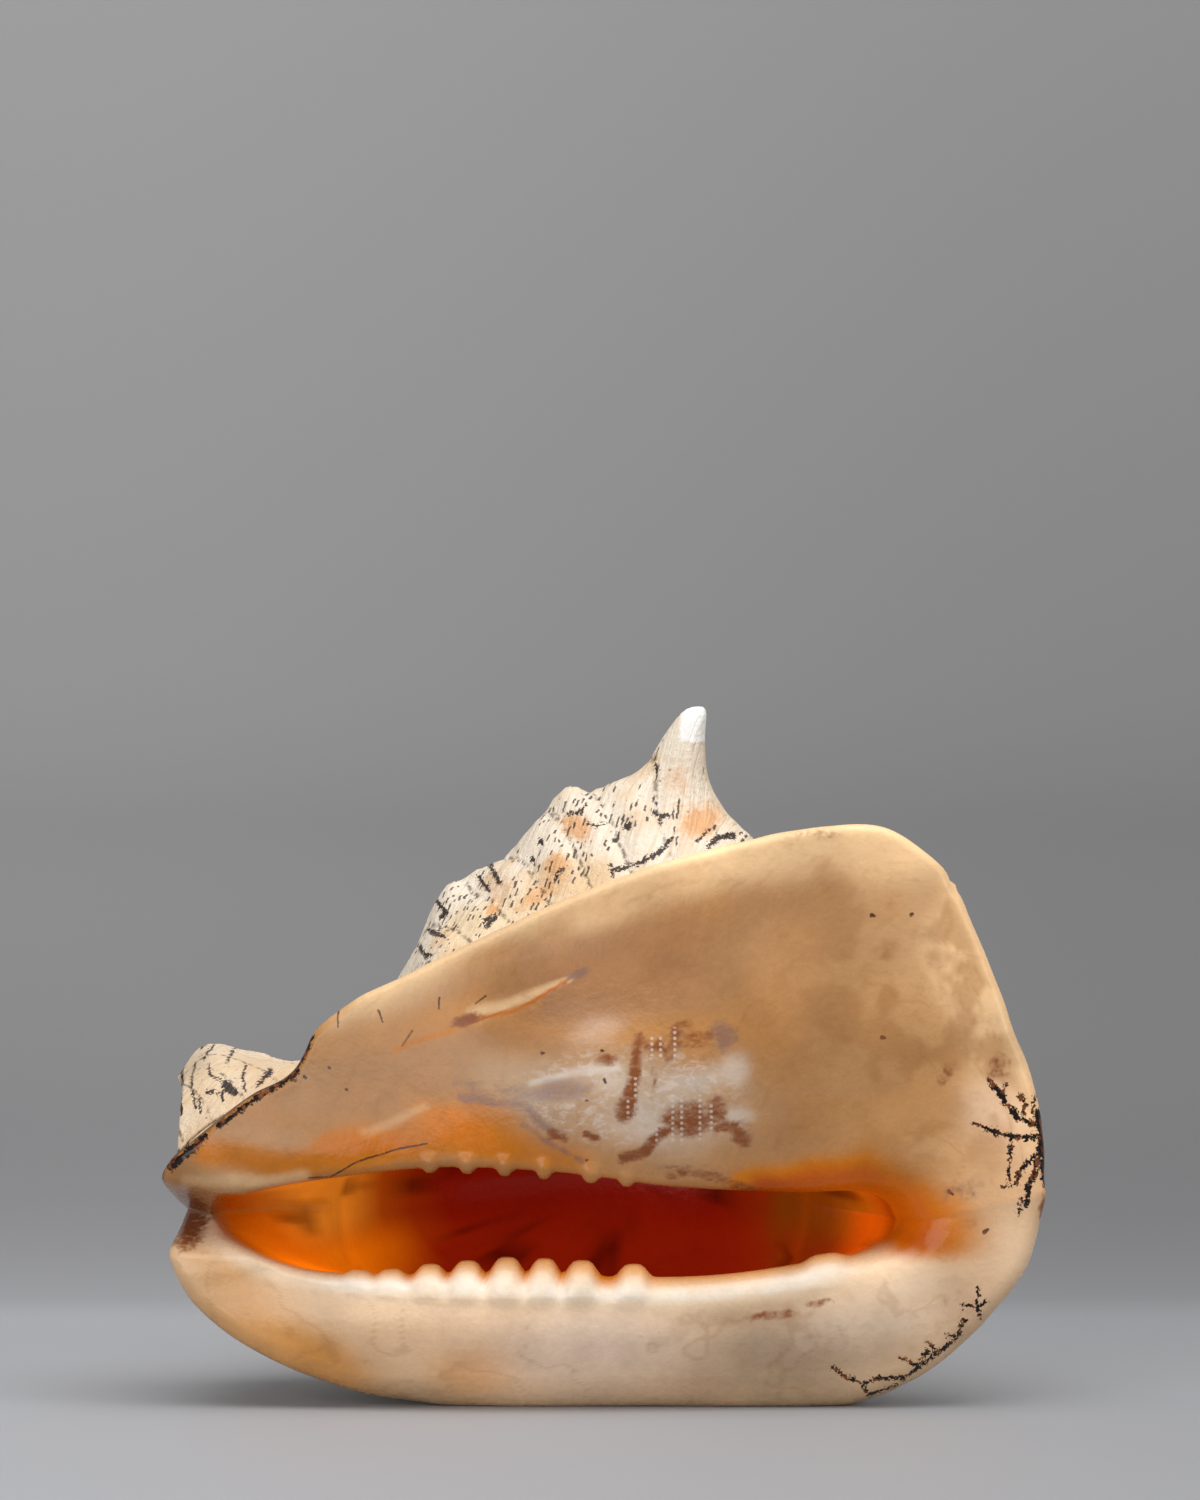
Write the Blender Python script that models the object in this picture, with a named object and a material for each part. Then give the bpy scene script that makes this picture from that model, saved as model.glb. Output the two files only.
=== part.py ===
"""A horned helmet shell, standing on the edge of its outer lip with its mouth to the front.

A shell grows as one piece, so it is one closed skin here too. Rings run round the mouth: they start at
the bottom of the hollow, come forward to the rim, cross the flat front of the shield and the lip, turn
over their free edge and run in behind it to the whorl. Rows of the body whorl then join the upper half
of the last ring to its lower half over the back of the shell, and a cone of rings closes the spire.
The horns and teeth are spikes and lumps, which a Boolean union joins on.

Sizes are in millimetres until the mesh is written. While the shell is worked out, y = 0 is the plane of
the mouth, z = 0 is the floor, +X points to the spire and +Y to the back.
"""

import math

import bmesh
import bpy
import numpy as np
from mathutils import Matrix, Vector

MM = 0.001

# The axis that the shell coils round runs along X, behind the mouth and above the floor.
AXIS_Y = 50.0
AXIS_Z = 84.0

# How finely the skin is divided: along each side of the mouth, over the back, and from ring to ring.
SIDE_STEPS = 38
BACK_STEPS = 40
HOLLOW_RINGS = 5
ROLL_RINGS = 3
FACE_RINGS = 6
EDGE_RINGS = 5
BEHIND_RINGS = 2
SPIRE_RINGS = 8
CAP_STATION = 0.06

# The rim of the mouth. Each row is a station from the canal notch (0) to the spire end (1), then x, z.
RIM_UPPER = (
    (0.00, -112.5, 53), (0.03, -110, 58), (0.08, -101, 60), (0.14, -88.5, 63), (0.20, -76, 65),
    (0.33, -49, 68), (0.50, -12.5, 67), (0.66, 21, 62.5), (0.80, 52, 60.5), (0.93, 76, 59),
    (0.97, 80.5, 56), (1.00, 82.5, 51.5),
)
RIM_LOWER = (
    (0.00, -112.5, 53), (0.03, -107.5, 48), (0.07, -99, 43.5), (0.12, -88, 39.5), (0.20, -70, 37.5),
    (0.33, -46, 38), (0.52, -4, 37.5), (0.66, 28, 37.5), (0.78, 52, 40), (0.93, 77, 45),
    (0.97, 81, 48), (1.00, 82.5, 51.5),
)
# The free edge of the shield (upper) and of the lip (lower), as station, x, extra depth, z.
EDGE_UPPER = (
    (0.00, -120, 38, 53), (0.03, -123, 16, 59), (0.05, -125, 3, 64), (0.07, -123, 0, 68.5),
    (0.12, -112.5, 0, 78), (0.17, -99.5, 0, 88), (0.21, -88.5, 0, 94), (0.235, -85, 0, 99),
    (0.26, -81.5, 0, 106), (0.29, -73, 0, 113), (0.35, -57.5, 0, 121), (0.42, -35, 0, 132),
    (0.50, -10, 0, 143.5), (0.57, 15.5, 0, 153), (0.64, 40.5, 0, 159.5), (0.70, 55, 0, 162.5),
    (0.75, 70, 0, 164), (0.79, 81.5, 0, 162), (0.82, 90, 0, 156.5), (0.85, 97.3, 0, 149.4),
    (0.88, 103.2, 0, 138), (0.91, 108.8, 0, 124), (0.94, 115.5, 0, 105.5), (0.97, 122.4, 0, 85.5),
    (1.00, 124.5, 0, 59),
)
EDGE_LOWER = (
    (0.00, -120, 38, 53), (0.03, -121, 14, 48.5), (0.05, -122.5, 3, 44.5), (0.08, -121.5, 0, 39),
    (0.12, -117.5, 0, 31), (0.17, -107.5, 0, 21.5), (0.23, -92.5, 0, 12.5), (0.30, -76, 0, 6),
    (0.38, -55, 0, 1.0), (0.46, -32, 0, -1.3), (0.62, 15.5, 0, -1.3), (0.76, 58, 0, -1.3),
    (0.83, 77, 0, 2.5), (0.87, 89, 0, 8.5), (0.91, 99.5, 0, 16.5), (0.945, 109.5, 0, 26.5),
    (0.975, 119.5, 0, 40), (1.00, 124.5, 0, 59),
)
# How far the surface rolls over from the front into the mouth, by station.
ROLL_UPPER = ((0.0, 3), (0.10, 3), (0.30, 2.5), (0.70, 3), (0.90, 7), (1.0, 13))
ROLL_LOWER = ((0.0, 3), (0.07, 4), (0.20, 6.5), (0.78, 6.5), (0.92, 9), (1.0, 13))
# Thickness of the free edge, by station, and how deep the canal floor lies at the rim.
THICK_UPPER = ((0.0, 3), (0.05, 5), (0.25, 5), (0.60, 6), (0.85, 7), (1.0, 10))
THICK_LOWER = ((0.0, 3), (0.05, 7), (0.20, 12), (0.80, 13), (1.0, 10))
CANAL_DEPTH = ((0.0, 22), (0.03, 12), (0.07, 2), (0.12, 0), (1.0, 0))

# Station round the mouth against station along the whorl, from the anterior end (0) to the spire (1).
ALONG_WHORL = (
    (0.0, 0.0), (0.05, 0.06), (0.12, 0.12), (0.17, 0.19), (0.21, 0.26), (0.26, 0.32), (0.35, 0.42),
    (0.42, 0.56), (0.50, 0.68), (0.57, 0.79), (0.64, 0.86), (0.75, 0.91), (0.85, 0.955), (1.0, 1.0),
)
# Where the whorl leaves the back of the shield (upper) and of the lip (lower): station, x, y, z.
JOIN_UPPER = (
    (0.06, -121, 9, 71), (0.12, -112, 9, 79), (0.20, -98, 9, 86), (0.27, -87, 9, 91),
    (0.34, -74, 9, 98), (0.42, -59, 10, 112), (0.48, -49, 11, 119), (0.54, -39, 11, 124),
    (0.60, -27, 12, 130), (0.66, -14, 12, 136.5), (0.72, 0, 13, 142), (0.78, 13, 13, 147),
    (0.82, 23, 14, 149.5), (0.86, 33, 15, 148), (0.91, 49, 15, 137), (0.96, 71, 16, 110),
    (0.985, 86, 15, 84), (1.00, 93, 27, 67),
)
JOIN_LOWER = (
    (0.06, -118, 12, 42), (0.12, -110, 13, 32), (0.20, -96, 14, 24), (0.27, -83, 14, 19),
    (0.34, -70, 15, 15), (0.42, -57, 15, 12), (0.54, -35, 15, 10.5), (0.66, -12, 15, 10),
    (0.78, 11, 15, 10), (0.86, 32, 16, 13), (0.91, 54, 18, 21), (0.96, 77, 20, 37),
    (1.00, 93, 27, 67),
)
# Profiles of the whorl on its upper side, its back and its lower side: station, x, radius from the axis.
PROFILE_UPPER = (
    (0.06, -124, 6), (0.12, -117, 15), (0.20, -104, 12.8), (0.27, -91, 10.3), (0.34, -75, 14),
    (0.42, -60, 34), (0.48, -50, 50), (0.54, -40, 58.5), (0.60, -28, 71), (0.66, -14, 82.5),
    (0.72, 0, 89), (0.78, 13, 91), (0.82, 23, 90.5), (0.86, 31, 86), (0.91, 42, 75),
    (0.96, 54, 56), (1.00, 64, 38),
)
PROFILE_BACK = (
    (0.06, -117, 18), (0.12, -112, 23), (0.20, -101, 21.5), (0.27, -89, 17.5), (0.34, -76, 22),
    (0.42, -61, 39), (0.48, -51, 50), (0.54, -40, 59), (0.60, -28, 69), (0.66, -14, 78),
    (0.72, 0, 84), (0.78, 12, 87), (0.82, 22, 87), (0.86, 31, 83), (0.91, 43, 73),
    (0.96, 55, 55), (1.00, 64, 38),
)
PROFILE_LOWER = (
    (0.06, -118, 26), (0.12, -109, 40), (0.20, -95, 51), (0.27, -83, 58), (0.34, -70, 64),
    (0.42, -57, 69), (0.54, -35, 73), (0.66, -12, 77), (0.72, 0, 78.5), (0.78, 11, 79.5),
    (0.82, 20, 79), (0.86, 29, 76), (0.91, 41, 68), (0.96, 54, 54), (1.00, 64, 38),
)
SPIRE_RADIUS = 38.0
APEX = (92.0, AXIS_Y, AXIS_Z)

# The hollow: its widest ring, its bottom, and how deep each lies.
HOLLOW_CENTRE = (-9.0, 54.0)
HOLLOW_HALF_LENGTH = 68.0
HOLLOW_RISE = 26.0
HOLLOW_DROP = 39.0
HOLLOW_MID_Y = 42.0
HOLLOW_END = (8.0, 104.0, 58.0)

# The spire rises in whorls, each this much wider than the one before, with a step at every seam.
WHORL_GROWTH = 1.55
SEAM_STEP = 0.11

# Five horns stand on the shoulder, the last of them on the floor. Angles run from the mouth over the top.
SHOULDER = 0.81
FIRST_HORN = 88.0
HORN_STEP = 36.0
HORN_HEIGHTS = (23.0, 20.0, 24.0, 25.0, 24.0)
# A horn narrows from its root to its blunt tip: share of its height, radius.
HORN_OUTLINE = (
    (-0.25, 12.0), (0.20, 9.8), (0.40, 8.6), (0.60, 7.5), (0.80, 6.2), (0.93, 4.6), (1.0, 2.0),
)
HORN_LEAN = 0.27
HORN_SHIFT = 2.4
HORN_SIDES = 14
# A horn's foot flares out from the whorl, and rows of blunt knobs run below: station, first angle, step,
# count, height. A hill is this wide where it is 1/e of its height.
FLARE_HEIGHT = 5.0
FLARE_WIDTH = 12.5
KNOB_ROWS = ((0.665, 92.0, 26.0, 7, 4.8), (0.518, 90.0, 28.0, 6, 7.5))
KNOB_WIDTH = 8.5
# Teeth along the rim: x, and how far each stands out.
LIP_TEETH = ((-49, 2), (-38.5, 4), (-27, 6), (-17, 6), (-6, 5.5), (9, 4), (66, 1.5))
SHIELD_TEETH = ((-49, 1.6), (-38.5, 2), (-28, 2.2), (-17, 2.2), (-4, 2), (6, 1.6))


def through(knots, stations):
    """The smooth curve through the knots, read at the stations. Its slope at a knot is that of the
    parabola through the knot and its two neighbours."""
    knots = np.array(knots, float)
    at, values = knots[:, 0], knots[:, 1:]
    gap = np.diff(at)[:, None]
    slope = np.diff(values, axis=0) / gap
    slopes = np.vstack([slope[:1], (slope[:-1] * gap[1:] + slope[1:] * gap[:-1]) / (gap[:-1] + gap[1:]), slope[-1:]])
    stations = np.atleast_1d(np.asarray(stations, float))
    piece = np.clip(np.searchsorted(at, stations, side="right") - 1, 0, len(gap) - 1)
    width = gap[piece]
    part = (stations[:, None] - at[piece][:, None]) / width
    start = values[piece] * (1 + 2 * part) * (1 - part) ** 2 + slopes[piece] * width * part * (1 - part) ** 2
    end = values[piece + 1] * part**2 * (3 - 2 * part) - slopes[piece + 1] * width * part**2 * (1 - part)
    return start + end


def ease(value):
    """0 below 0, 1 above 1, and a smooth step between them."""
    value = np.clip(value, 0.0, 1.0)
    return value * value * (3 - 2 * value)


def bump(x, z, centre, size):
    """A round hill of height 1 about the centre, which falls away over the size along x and z."""
    return np.exp(-((x - centre[0]) / size[0]) ** 2 - ((z - centre[1]) / size[1]) ** 2)


def face_depth(x, z):
    """How far the front lies behind the plane of the mouth. The wall of the whorl before swells through
    the shield, which leans back at its top and its spire end, and the lip is rounded top to bottom."""
    swelling = -5.0 * bump(x, z, (6.0, 90.0), (46.0, 26.0))
    lobe = -3.0 * bump(x, z, (-92.0, 72.0), (26.0, 12.0))
    lean = 6.5 * ease((z - 100.0) / 60.0) + 3.0 * ease((x - 60.0) / 60.0)
    lip = -5.0 * bump(x, z, (0.0, 21.0), (110.0, 13.0)) + 3.0 * ease((10.0 - z) / 12.0)
    return swelling + lobe + lean + lip


def round_the_mouth(upper, lower, steps=SIDE_STEPS):
    """A closed ring of values: the upper side from the canal to the spire end, then the lower one back."""
    stations = np.linspace(0.0, 1.0, steps + 1)
    return np.vstack([through(upper, stations)[:-1], through(lower, stations[::-1])[:-1]])


def mouth_rings():
    """The rings from the bottom of the hollow to the back of the free edge, each an array of points."""
    rim = round_the_mouth(RIM_UPPER, RIM_LOWER)
    edge = round_the_mouth(EDGE_UPPER, EDGE_LOWER)
    roll = round_the_mouth(ROLL_UPPER, ROLL_LOWER)[:, 0]
    half_edge = round_the_mouth(THICK_UPPER, THICK_LOWER)[:, 0] / 2
    canal = round_the_mouth(CANAL_DEPTH, CANAL_DEPTH)[:, 0]
    outward = edge[:, [0, 2]] - rim
    width = np.linalg.norm(outward, axis=1)
    outward /= width[:, None]
    side = np.minimum(half_edge, 0.3 * width)
    roll = np.minimum(roll, 0.55 * width)

    def at(distance, depth):
        """Points this far out from the rim, and this far behind the front."""
        flat = rim + outward * distance[:, None]
        share = np.clip(distance / width, 0, 1)
        notch = canal * (1 - share) + edge[:, 1] * share
        calm = np.exp(-notch / 4.0)
        return np.column_stack([flat[:, 0], face_depth(flat[:, 0], flat[:, 1]) * calm + notch + depth, flat[:, 1]])

    rings = []
    rim_points = at(0 * roll, roll)
    turn = np.concatenate([np.linspace(0, 1, SIDE_STEPS + 1)[:-1], np.linspace(1, 0, SIDE_STEPS + 1)[:-1]])
    upper = np.arange(len(turn)) < SIDE_STEPS
    swell = np.sin(math.pi * turn) ** 0.8
    middle = np.column_stack([
        HOLLOW_CENTRE[0] - HOLLOW_HALF_LENGTH * np.cos(math.pi * turn),
        np.full(len(turn), HOLLOW_MID_Y),
        HOLLOW_CENTRE[1] + np.where(upper, HOLLOW_RISE, -HOLLOW_DROP) * swell,
    ])
    end = np.array(HOLLOW_END)
    for k in range(1, HOLLOW_RINGS):
        angle = math.pi / 2 * (1 - k / HOLLOW_RINGS)
        ring = end + (middle - end) * math.cos(angle)
        ring[:, 1] = HOLLOW_MID_Y + (HOLLOW_END[1] - HOLLOW_MID_Y) * math.sin(angle)
        rings.append(ring)
    rings.append(middle)
    for k in range(1, HOLLOW_RINGS):
        share = 1 - k / HOLLOW_RINGS
        ring = rim_points + (middle - rim_points) * ease(share)
        ring[:, 1] = rim_points[:, 1] + (middle[:, 1] - rim_points[:, 1]) * share
        rings.append(ring)
    for angle in np.linspace(math.pi / 2, 0, ROLL_RINGS + 1):
        rings.append(at(roll * (1 - math.sin(angle)), roll * (1 - math.cos(angle))))
    for k in range(1, FACE_RINGS + 1):
        rings.append(at(roll + (width - side - roll) * k / FACE_RINGS, 0 * roll))
    for angle in np.linspace(0, math.pi, EDGE_RINGS + 2)[1:]:
        rings.append(at(width - side * (1 - math.sin(angle)), half_edge * (1 - math.cos(angle))))
    return end, rings


def polar(point):
    """Angle of a point about the axis, from the mouth over the top, and its radius."""
    across, up = AXIS_Y - point[1], point[2] - AXIS_Z
    return math.atan2(up, across), math.hypot(up, across)


def around(x, radius, angles):
    """Points at these angles about the axis."""
    return np.column_stack([x + 0 * angles, AXIS_Y - radius * np.cos(angles), AXIS_Z + radius * np.sin(angles)])


def whorl_span(station):
    """The angles at which the whorl leaves the shield and comes to the lip."""
    first, last = through(JOIN_UPPER, station)[0], through(JOIN_LOWER, station)[0]
    return polar(first)[0], polar(last)[0] % (2 * math.pi)


def hills():
    """Every hill that stands out of the whorl: station, angle, height and width."""
    found = [(SHOULDER, FIRST_HORN + i * HORN_STEP, FLARE_HEIGHT, FLARE_WIDTH) for i in range(len(HORN_HEIGHTS))]
    for station, first, step, count, height in KNOB_ROWS:
        found += [(station, first + k * step, height, KNOB_WIDTH) for k in range(count)]
    return found


def whorl_points(station, angles, relief=True):
    """Points of the body whorl at a station and at these angles. The radius goes smoothly from the
    upper profile to the back one and on to the lower one as the angle grows. Next to the shield it
    grows before x falls, which leaves the glaze heaped on the front of the spire. Over the snout it
    shrinks instead, and there it shrinks early."""
    first, last = through(JOIN_UPPER, station)[0], through(JOIN_LOWER, station)[0]
    ribs = [through(profile, station)[0] for profile in (PROFILE_UPPER, PROFILE_BACK, PROFILE_LOWER)]
    start, stop = whorl_span(station)
    quarter = math.pi / 2
    under = ease((angles - 3 * quarter) / (stop - 3 * quarter))
    back = np.sin(np.clip(angles - quarter, 0, quarter)) ** 2
    low = np.sin(np.clip(angles - 2 * quarter, 0, quarter)) ** 2
    x, radius = np.array([(first[0], polar(first)[1]), *ribs, (last[0], polar(last)[1])]).T
    part = np.clip((angles - start) / (quarter - start), 0, 1)
    over = 1 - (1 - part) ** 3 if radius[0] > radius[1] else ease(part)
    late = part**3

    def blend(values, over):
        mix = [1 - over, over * (1 - back), back * (1 - low), low * (1 - under), under]
        return np.array(mix).T @ values

    x, radius = blend(x, late), blend(radius, over)
    for hill_station, hill_angle, height, width in hills() if relief else ():
        foot = whorl_points(hill_station, np.array([math.radians(hill_angle)]), relief=False)[0]
        across = radius * (angles - math.radians(hill_angle))
        radius = radius + height * np.exp(-((x - foot[0]) ** 2 + across**2) / width**2)
    return around(x, radius, angles)


def whorl_rows():
    """The rows of the body whorl, from the canal notch to the foot of the spire, each an array of points
    from the shield over the back to the lip. The first rows close to a point behind the notch."""
    stations = through(ALONG_WHORL, np.linspace(0, 1, SIDE_STEPS + 1))[:, 0]
    stations[-1] = 1.0
    notch = np.array(EDGE_UPPER[0][1:]) + (0, 3, 0)
    rows = []
    for station in stations[1:]:
        inside = max(station, CAP_STATION)
        row = whorl_points(inside, np.linspace(*whorl_span(inside), BACK_STEPS + 1))
        if station < CAP_STATION:
            angle = math.pi / 2 * station / CAP_STATION
            row[:, 1:] = notch[1:] + (row[:, 1:] - notch[1:]) * math.sin(angle)
            row[:, 0] = notch[0] + (row[:, 0] - notch[0]) * (1 - math.cos(angle))
        rows.append(row)
    return notch, rows


def spire_rings(foot):
    """Rings from the foot of the spire to near its apex. Each whorl swells out to a shoulder and steps in
    again at the seam, a spiral that winds once round for each whorl. The glaze on the front hides it."""
    rings = []
    bare = ease((APEX[0] - foot[:, 0]) / 20.0)
    for k in range(1, SPIRE_RINGS):
        ring = foot + (np.array(APEX) - foot) * k / SPIRE_RINGS
        radius = np.hypot(ring[:, 1] - AXIS_Y, ring[:, 2] - AXIS_Z)
        angle = np.arctan2(ring[:, 2] - AXIS_Z, AXIS_Y - ring[:, 1])
        part = (np.log(radius / SPIRE_RADIUS) / math.log(WHORL_GROWTH) - angle / (2 * math.pi)) % 1.0
        step = np.where(part < 0.8, part / 0.8, (1 - part) / 0.2) - 0.5
        ring[:, 0] += SEAM_STEP * radius * step * bare
        rings.append(ring)
    return rings


def build_skin():
    """The closed skin of the shell without its horns and teeth."""
    mesh = bmesh.new()
    end, rings = mouth_rings()
    notch, rows = whorl_rows()
    last_ring = rings[-1]
    join = np.vstack([notch[None], [row[0] for row in rows[:-1]], rows[-1][:1], [row[-1] for row in rows[-2::-1]]])
    for k in range(1, BEHIND_RINGS):
        rings.append(last_ring + (join - last_ring) * k / BEHIND_RINGS)
    rings.append(join)

    def add(points):
        return [mesh.verts.new(Vector(point)) for point in np.atleast_2d(points)]

    def quads(first, second, closed):
        count = len(first) if closed else len(first) - 1
        for i in range(count):
            j = (i + 1) % len(first)
            corners = [first[i], first[j], second[j], second[i]]
            mesh.faces.new([v for n, v in enumerate(corners) if v not in corners[:n]])

    loops = [add(ring) for ring in rings]
    bottom = add(end)[0]
    quads([bottom] * len(loops[0]), loops[0], True)
    for first, second in zip(loops, loops[1:]):
        quads(first, second, True)
    join_loop = loops[-1]
    before = [join_loop[0]] * (BACK_STEPS + 1)
    for k, row in enumerate(rows, 1):
        ends = [join_loop[k], join_loop[-k]] if k < SIDE_STEPS else [join_loop[k]] * 2
        line = [ends[0], *add(row[1:-1]), ends[1]]
        quads(before, line, False)
        before = line
    before = before[:-1]
    for points in spire_rings(rows[-1][:-1]):
        ring = add(points)
        quads(before, ring, True)
        before = ring
    apex = add(APEX)[0]
    quads(before, [apex] * BACK_STEPS, True)
    bmesh.ops.recalc_face_normals(mesh, faces=mesh.faces)
    return mesh


def add_horn(mesh, angle, height):
    """A horn on the shoulder, its axis square to the shell's and leaning a little to the spire."""
    foot = Vector(whorl_points(SHOULDER, np.array([angle]), relief=False)[0]) + Vector((HORN_SHIFT, 0, 0))
    outward = Vector((0, -math.cos(angle), math.sin(angle)))
    sideways = Vector((0, math.sin(angle), math.cos(angle)))
    turns = np.linspace(0, 2 * math.pi, HORN_SIDES + 1)[:-1]
    loops = []
    for share, radius in HORN_OUTLINE:
        centre = foot + outward * height * share + Vector((HORN_LEAN * height * (share - 0.45), 0, 0))
        ring = [centre + radius * (math.cos(t) * Vector((1, 0, 0)) + math.sin(t) * sideways) for t in turns]
        loops.append([mesh.verts.new(point) for point in ring])
    for first, second in zip(loops, loops[1:]):
        for i in range(HORN_SIDES):
            j = (i + 1) % HORN_SIDES
            mesh.faces.new((first[i], first[j], second[j], second[i]))
    mesh.faces.new(loops[0])
    mesh.faces.new(loops[-1])


def add_lump(mesh, centre, outward, size):
    """A rounded lump: its size along the shell, across it and outward are half-widths."""
    outward = Vector(outward).normalized()
    across = outward.cross(Vector((1, 0, 0))).normalized()
    along = across.cross(outward)
    turn = Matrix((along, across, outward)).transposed().to_4x4()
    place = Matrix.Translation(Vector(centre)) @ turn @ Matrix.Diagonal((*size, 1.0))
    bmesh.ops.create_icosphere(mesh, subdivisions=2, radius=1.0, matrix=place)


def build_lumps():
    """The horns and teeth, each a closed lump that reaches into the skin."""
    mesh = bmesh.new()
    for i, height in enumerate(HORN_HEIGHTS):
        add_horn(mesh, math.radians(FIRST_HORN + i * HORN_STEP), height)
    for x, height in LIP_TEETH:
        add_lump(mesh, (x, 6.5, rim_height(RIM_LOWER, x) - 3), (0, 0, 1), (2.9, 8.5, height + 3))
    for x, height in SHIELD_TEETH:
        add_lump(mesh, (x, 4.0, rim_height(RIM_UPPER, x) + 1.5), (0, 0, -1), (2.4, 5.0, height + 1.5))
    bmesh.ops.recalc_face_normals(mesh, faces=mesh.faces)
    return mesh


def rim_height(rim, x):
    """Height of the rim of the mouth at this x."""
    points = through(rim, np.linspace(0, 1, 200))
    return float(np.interp(x, points[:, 0], points[:, 1]))


def make_object(name, mesh, helper=False):
    """An object of the mesh, in metres. A helper is hidden from the build."""
    for face in mesh.faces:
        face.smooth = True
    data = bpy.data.meshes.new(name)
    mesh.to_mesh(data)
    mesh.free()
    made = bpy.data.objects.new(name, data)
    bpy.context.scene.collection.objects.link(made)
    if helper:
        made.hide_render = True
        made.display_type = "WIRE"
    return made


def glaze():
    """The smooth glossy shell."""
    material = bpy.data.materials.new("glaze")
    material.use_nodes = True
    shader = material.node_tree.nodes["Principled BSDF"]
    shader.inputs["Base Color"].default_value = (0.60, 0.35, 0.18, 1.0)
    shader.inputs["Roughness"].default_value = 0.3
    return material


def main():
    for old in list(bpy.data.objects):
        bpy.data.objects.remove(old)
    skin, lumps = build_skin(), build_lumps()
    # The lip and the last horn are worn flat where they stand on the floor.
    corners = [vertex.co for mesh in (skin, lumps) for vertex in mesh.verts]
    for corner in corners:
        corner.z = max(corner.z, 0.0)
    low = [min(corner[axis] for corner in corners) for axis in range(3)]
    high = [max(corner[axis] for corner in corners) for axis in range(3)]
    centre = Vector(((low[0] + high[0]) / 2, (low[1] + high[1]) / 2, 0.0))
    for corner in corners:
        corner -= centre
        corner *= MM
    shell = make_object("shell", skin)
    shell.data.materials.append(glaze())
    union = shell.modifiers.new("horns and teeth", "BOOLEAN")
    union.operation = "UNION"
    union.solver = "EXACT"
    union.object = make_object("lumps", lumps, helper=True)


main()
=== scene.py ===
"""A horned helmet shell on a grey paper sweep, standing on its outer lip with its mouth to the front.

The skin is one closed surface worked out with numpy. Rings run round the mouth from the bottom of the
hollow over the rim, the flat front and the free edge to the whorl behind it. Rows of the body whorl join
the upper half of the last ring to the lower half over the back, and rings close the spire to its apex.

Lengths are in millimetres until the mesh is written. While the skin is worked out, y = 0 is the plane of
the mouth, z = 0 is the floor, +X points to the spire and +Y to the back.
"""

from __future__ import annotations

import itertools
import logging
import math
from dataclasses import dataclass, field
from enum import Enum
from functools import partial
from typing import Any, Sequence

import bpy
import numpy as np
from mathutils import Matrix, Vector

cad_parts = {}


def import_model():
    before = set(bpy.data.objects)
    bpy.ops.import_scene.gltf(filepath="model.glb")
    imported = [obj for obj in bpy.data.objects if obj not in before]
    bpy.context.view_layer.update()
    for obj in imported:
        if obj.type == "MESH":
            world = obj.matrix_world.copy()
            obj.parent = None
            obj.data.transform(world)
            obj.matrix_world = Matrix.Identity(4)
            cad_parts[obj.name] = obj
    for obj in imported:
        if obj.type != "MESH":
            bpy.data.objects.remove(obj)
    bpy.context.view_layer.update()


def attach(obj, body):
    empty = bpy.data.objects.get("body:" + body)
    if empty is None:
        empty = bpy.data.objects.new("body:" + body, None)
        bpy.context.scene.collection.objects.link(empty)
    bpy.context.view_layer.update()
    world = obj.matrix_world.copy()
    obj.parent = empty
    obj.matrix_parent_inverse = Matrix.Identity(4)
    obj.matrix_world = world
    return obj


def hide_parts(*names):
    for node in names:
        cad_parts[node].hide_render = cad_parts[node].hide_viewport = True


Row = tuple[float, ...]
Knots = tuple[Row, ...]
Colour = tuple[float, float, float]
Array = np.ndarray
Tree = bpy.types.NodeTree
Wire = bpy.types.NodeSocket

LOG = logging.getLogger("shell")

MM = 0.001
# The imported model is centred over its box, which moves it this far from the frame of the sizes below.
TO_FRAME = np.array([0.222, -71.958, 0.0])
# The axis that the shell coils round runs along X, behind the mouth and above the floor.
AXIS_Y = 50.0
AXIS_Z = 84.0
QUARTER = math.pi / 2
# The whorl's finish measures length round it as the angle times this. The growth lines and the cords both
# lean to the axis: each pair is what to multiply the lengths along and round by to step across them.
ROUND_SCALE = 60.0
GROWTH_LEAN = (0.92, -0.38)
CORD_LEAN = (0.915, 0.404)
CORD_GAP = 11.5
# Farther than any mark reaches, in millimetres.
FAR = 99.0
# The share of its width that a stroke loses towards its end.
STROKE_TAPER = 0.45


def through(knots: Knots, stations: Any) -> Array:
    """Read the smooth curve through the knots.

    Between two knots it is the cubic that has the knots' values and slopes at its ends. The slope at a
    knot is that of the parabola through the knot and its two neighbours.

    Args:
        knots: Rows of a station followed by the values there.
        stations: The stations to read, one or many.

    Returns:
        One row of values for each station.
    """
    table = np.array(knots, float)
    at, values = table[:, 0], table[:, 1:]
    gap = np.diff(at)[:, None]
    slope = np.diff(values, axis=0) / gap
    middle = (slope[:-1] * gap[1:] + slope[1:] * gap[:-1]) / (gap[:-1] + gap[1:])
    slopes = np.vstack([slope[:1], middle, slope[-1:]])
    stations = np.atleast_1d(np.asarray(stations, float))
    piece = np.clip(np.searchsorted(at, stations, side="right") - 1, 0, len(gap) - 1)
    width = gap[piece]
    part = (stations[:, None] - at[piece][:, None]) / width
    rest = 1 - part
    start = values[piece] * (1 + 2 * part) * rest**2 + slopes[piece] * width * part * rest**2
    end = values[piece + 1] * part**2 * (3 - 2 * part) - slopes[piece + 1] * width * part**2 * rest
    return start + end


def ease(value: Any) -> Any:
    """Give 0 below 0, 1 above 1 and a smooth step, 3t² - 2t³, between them."""
    value = np.clip(value, 0.0, 1.0)
    return value * value * (3 - 2 * value)


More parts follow.
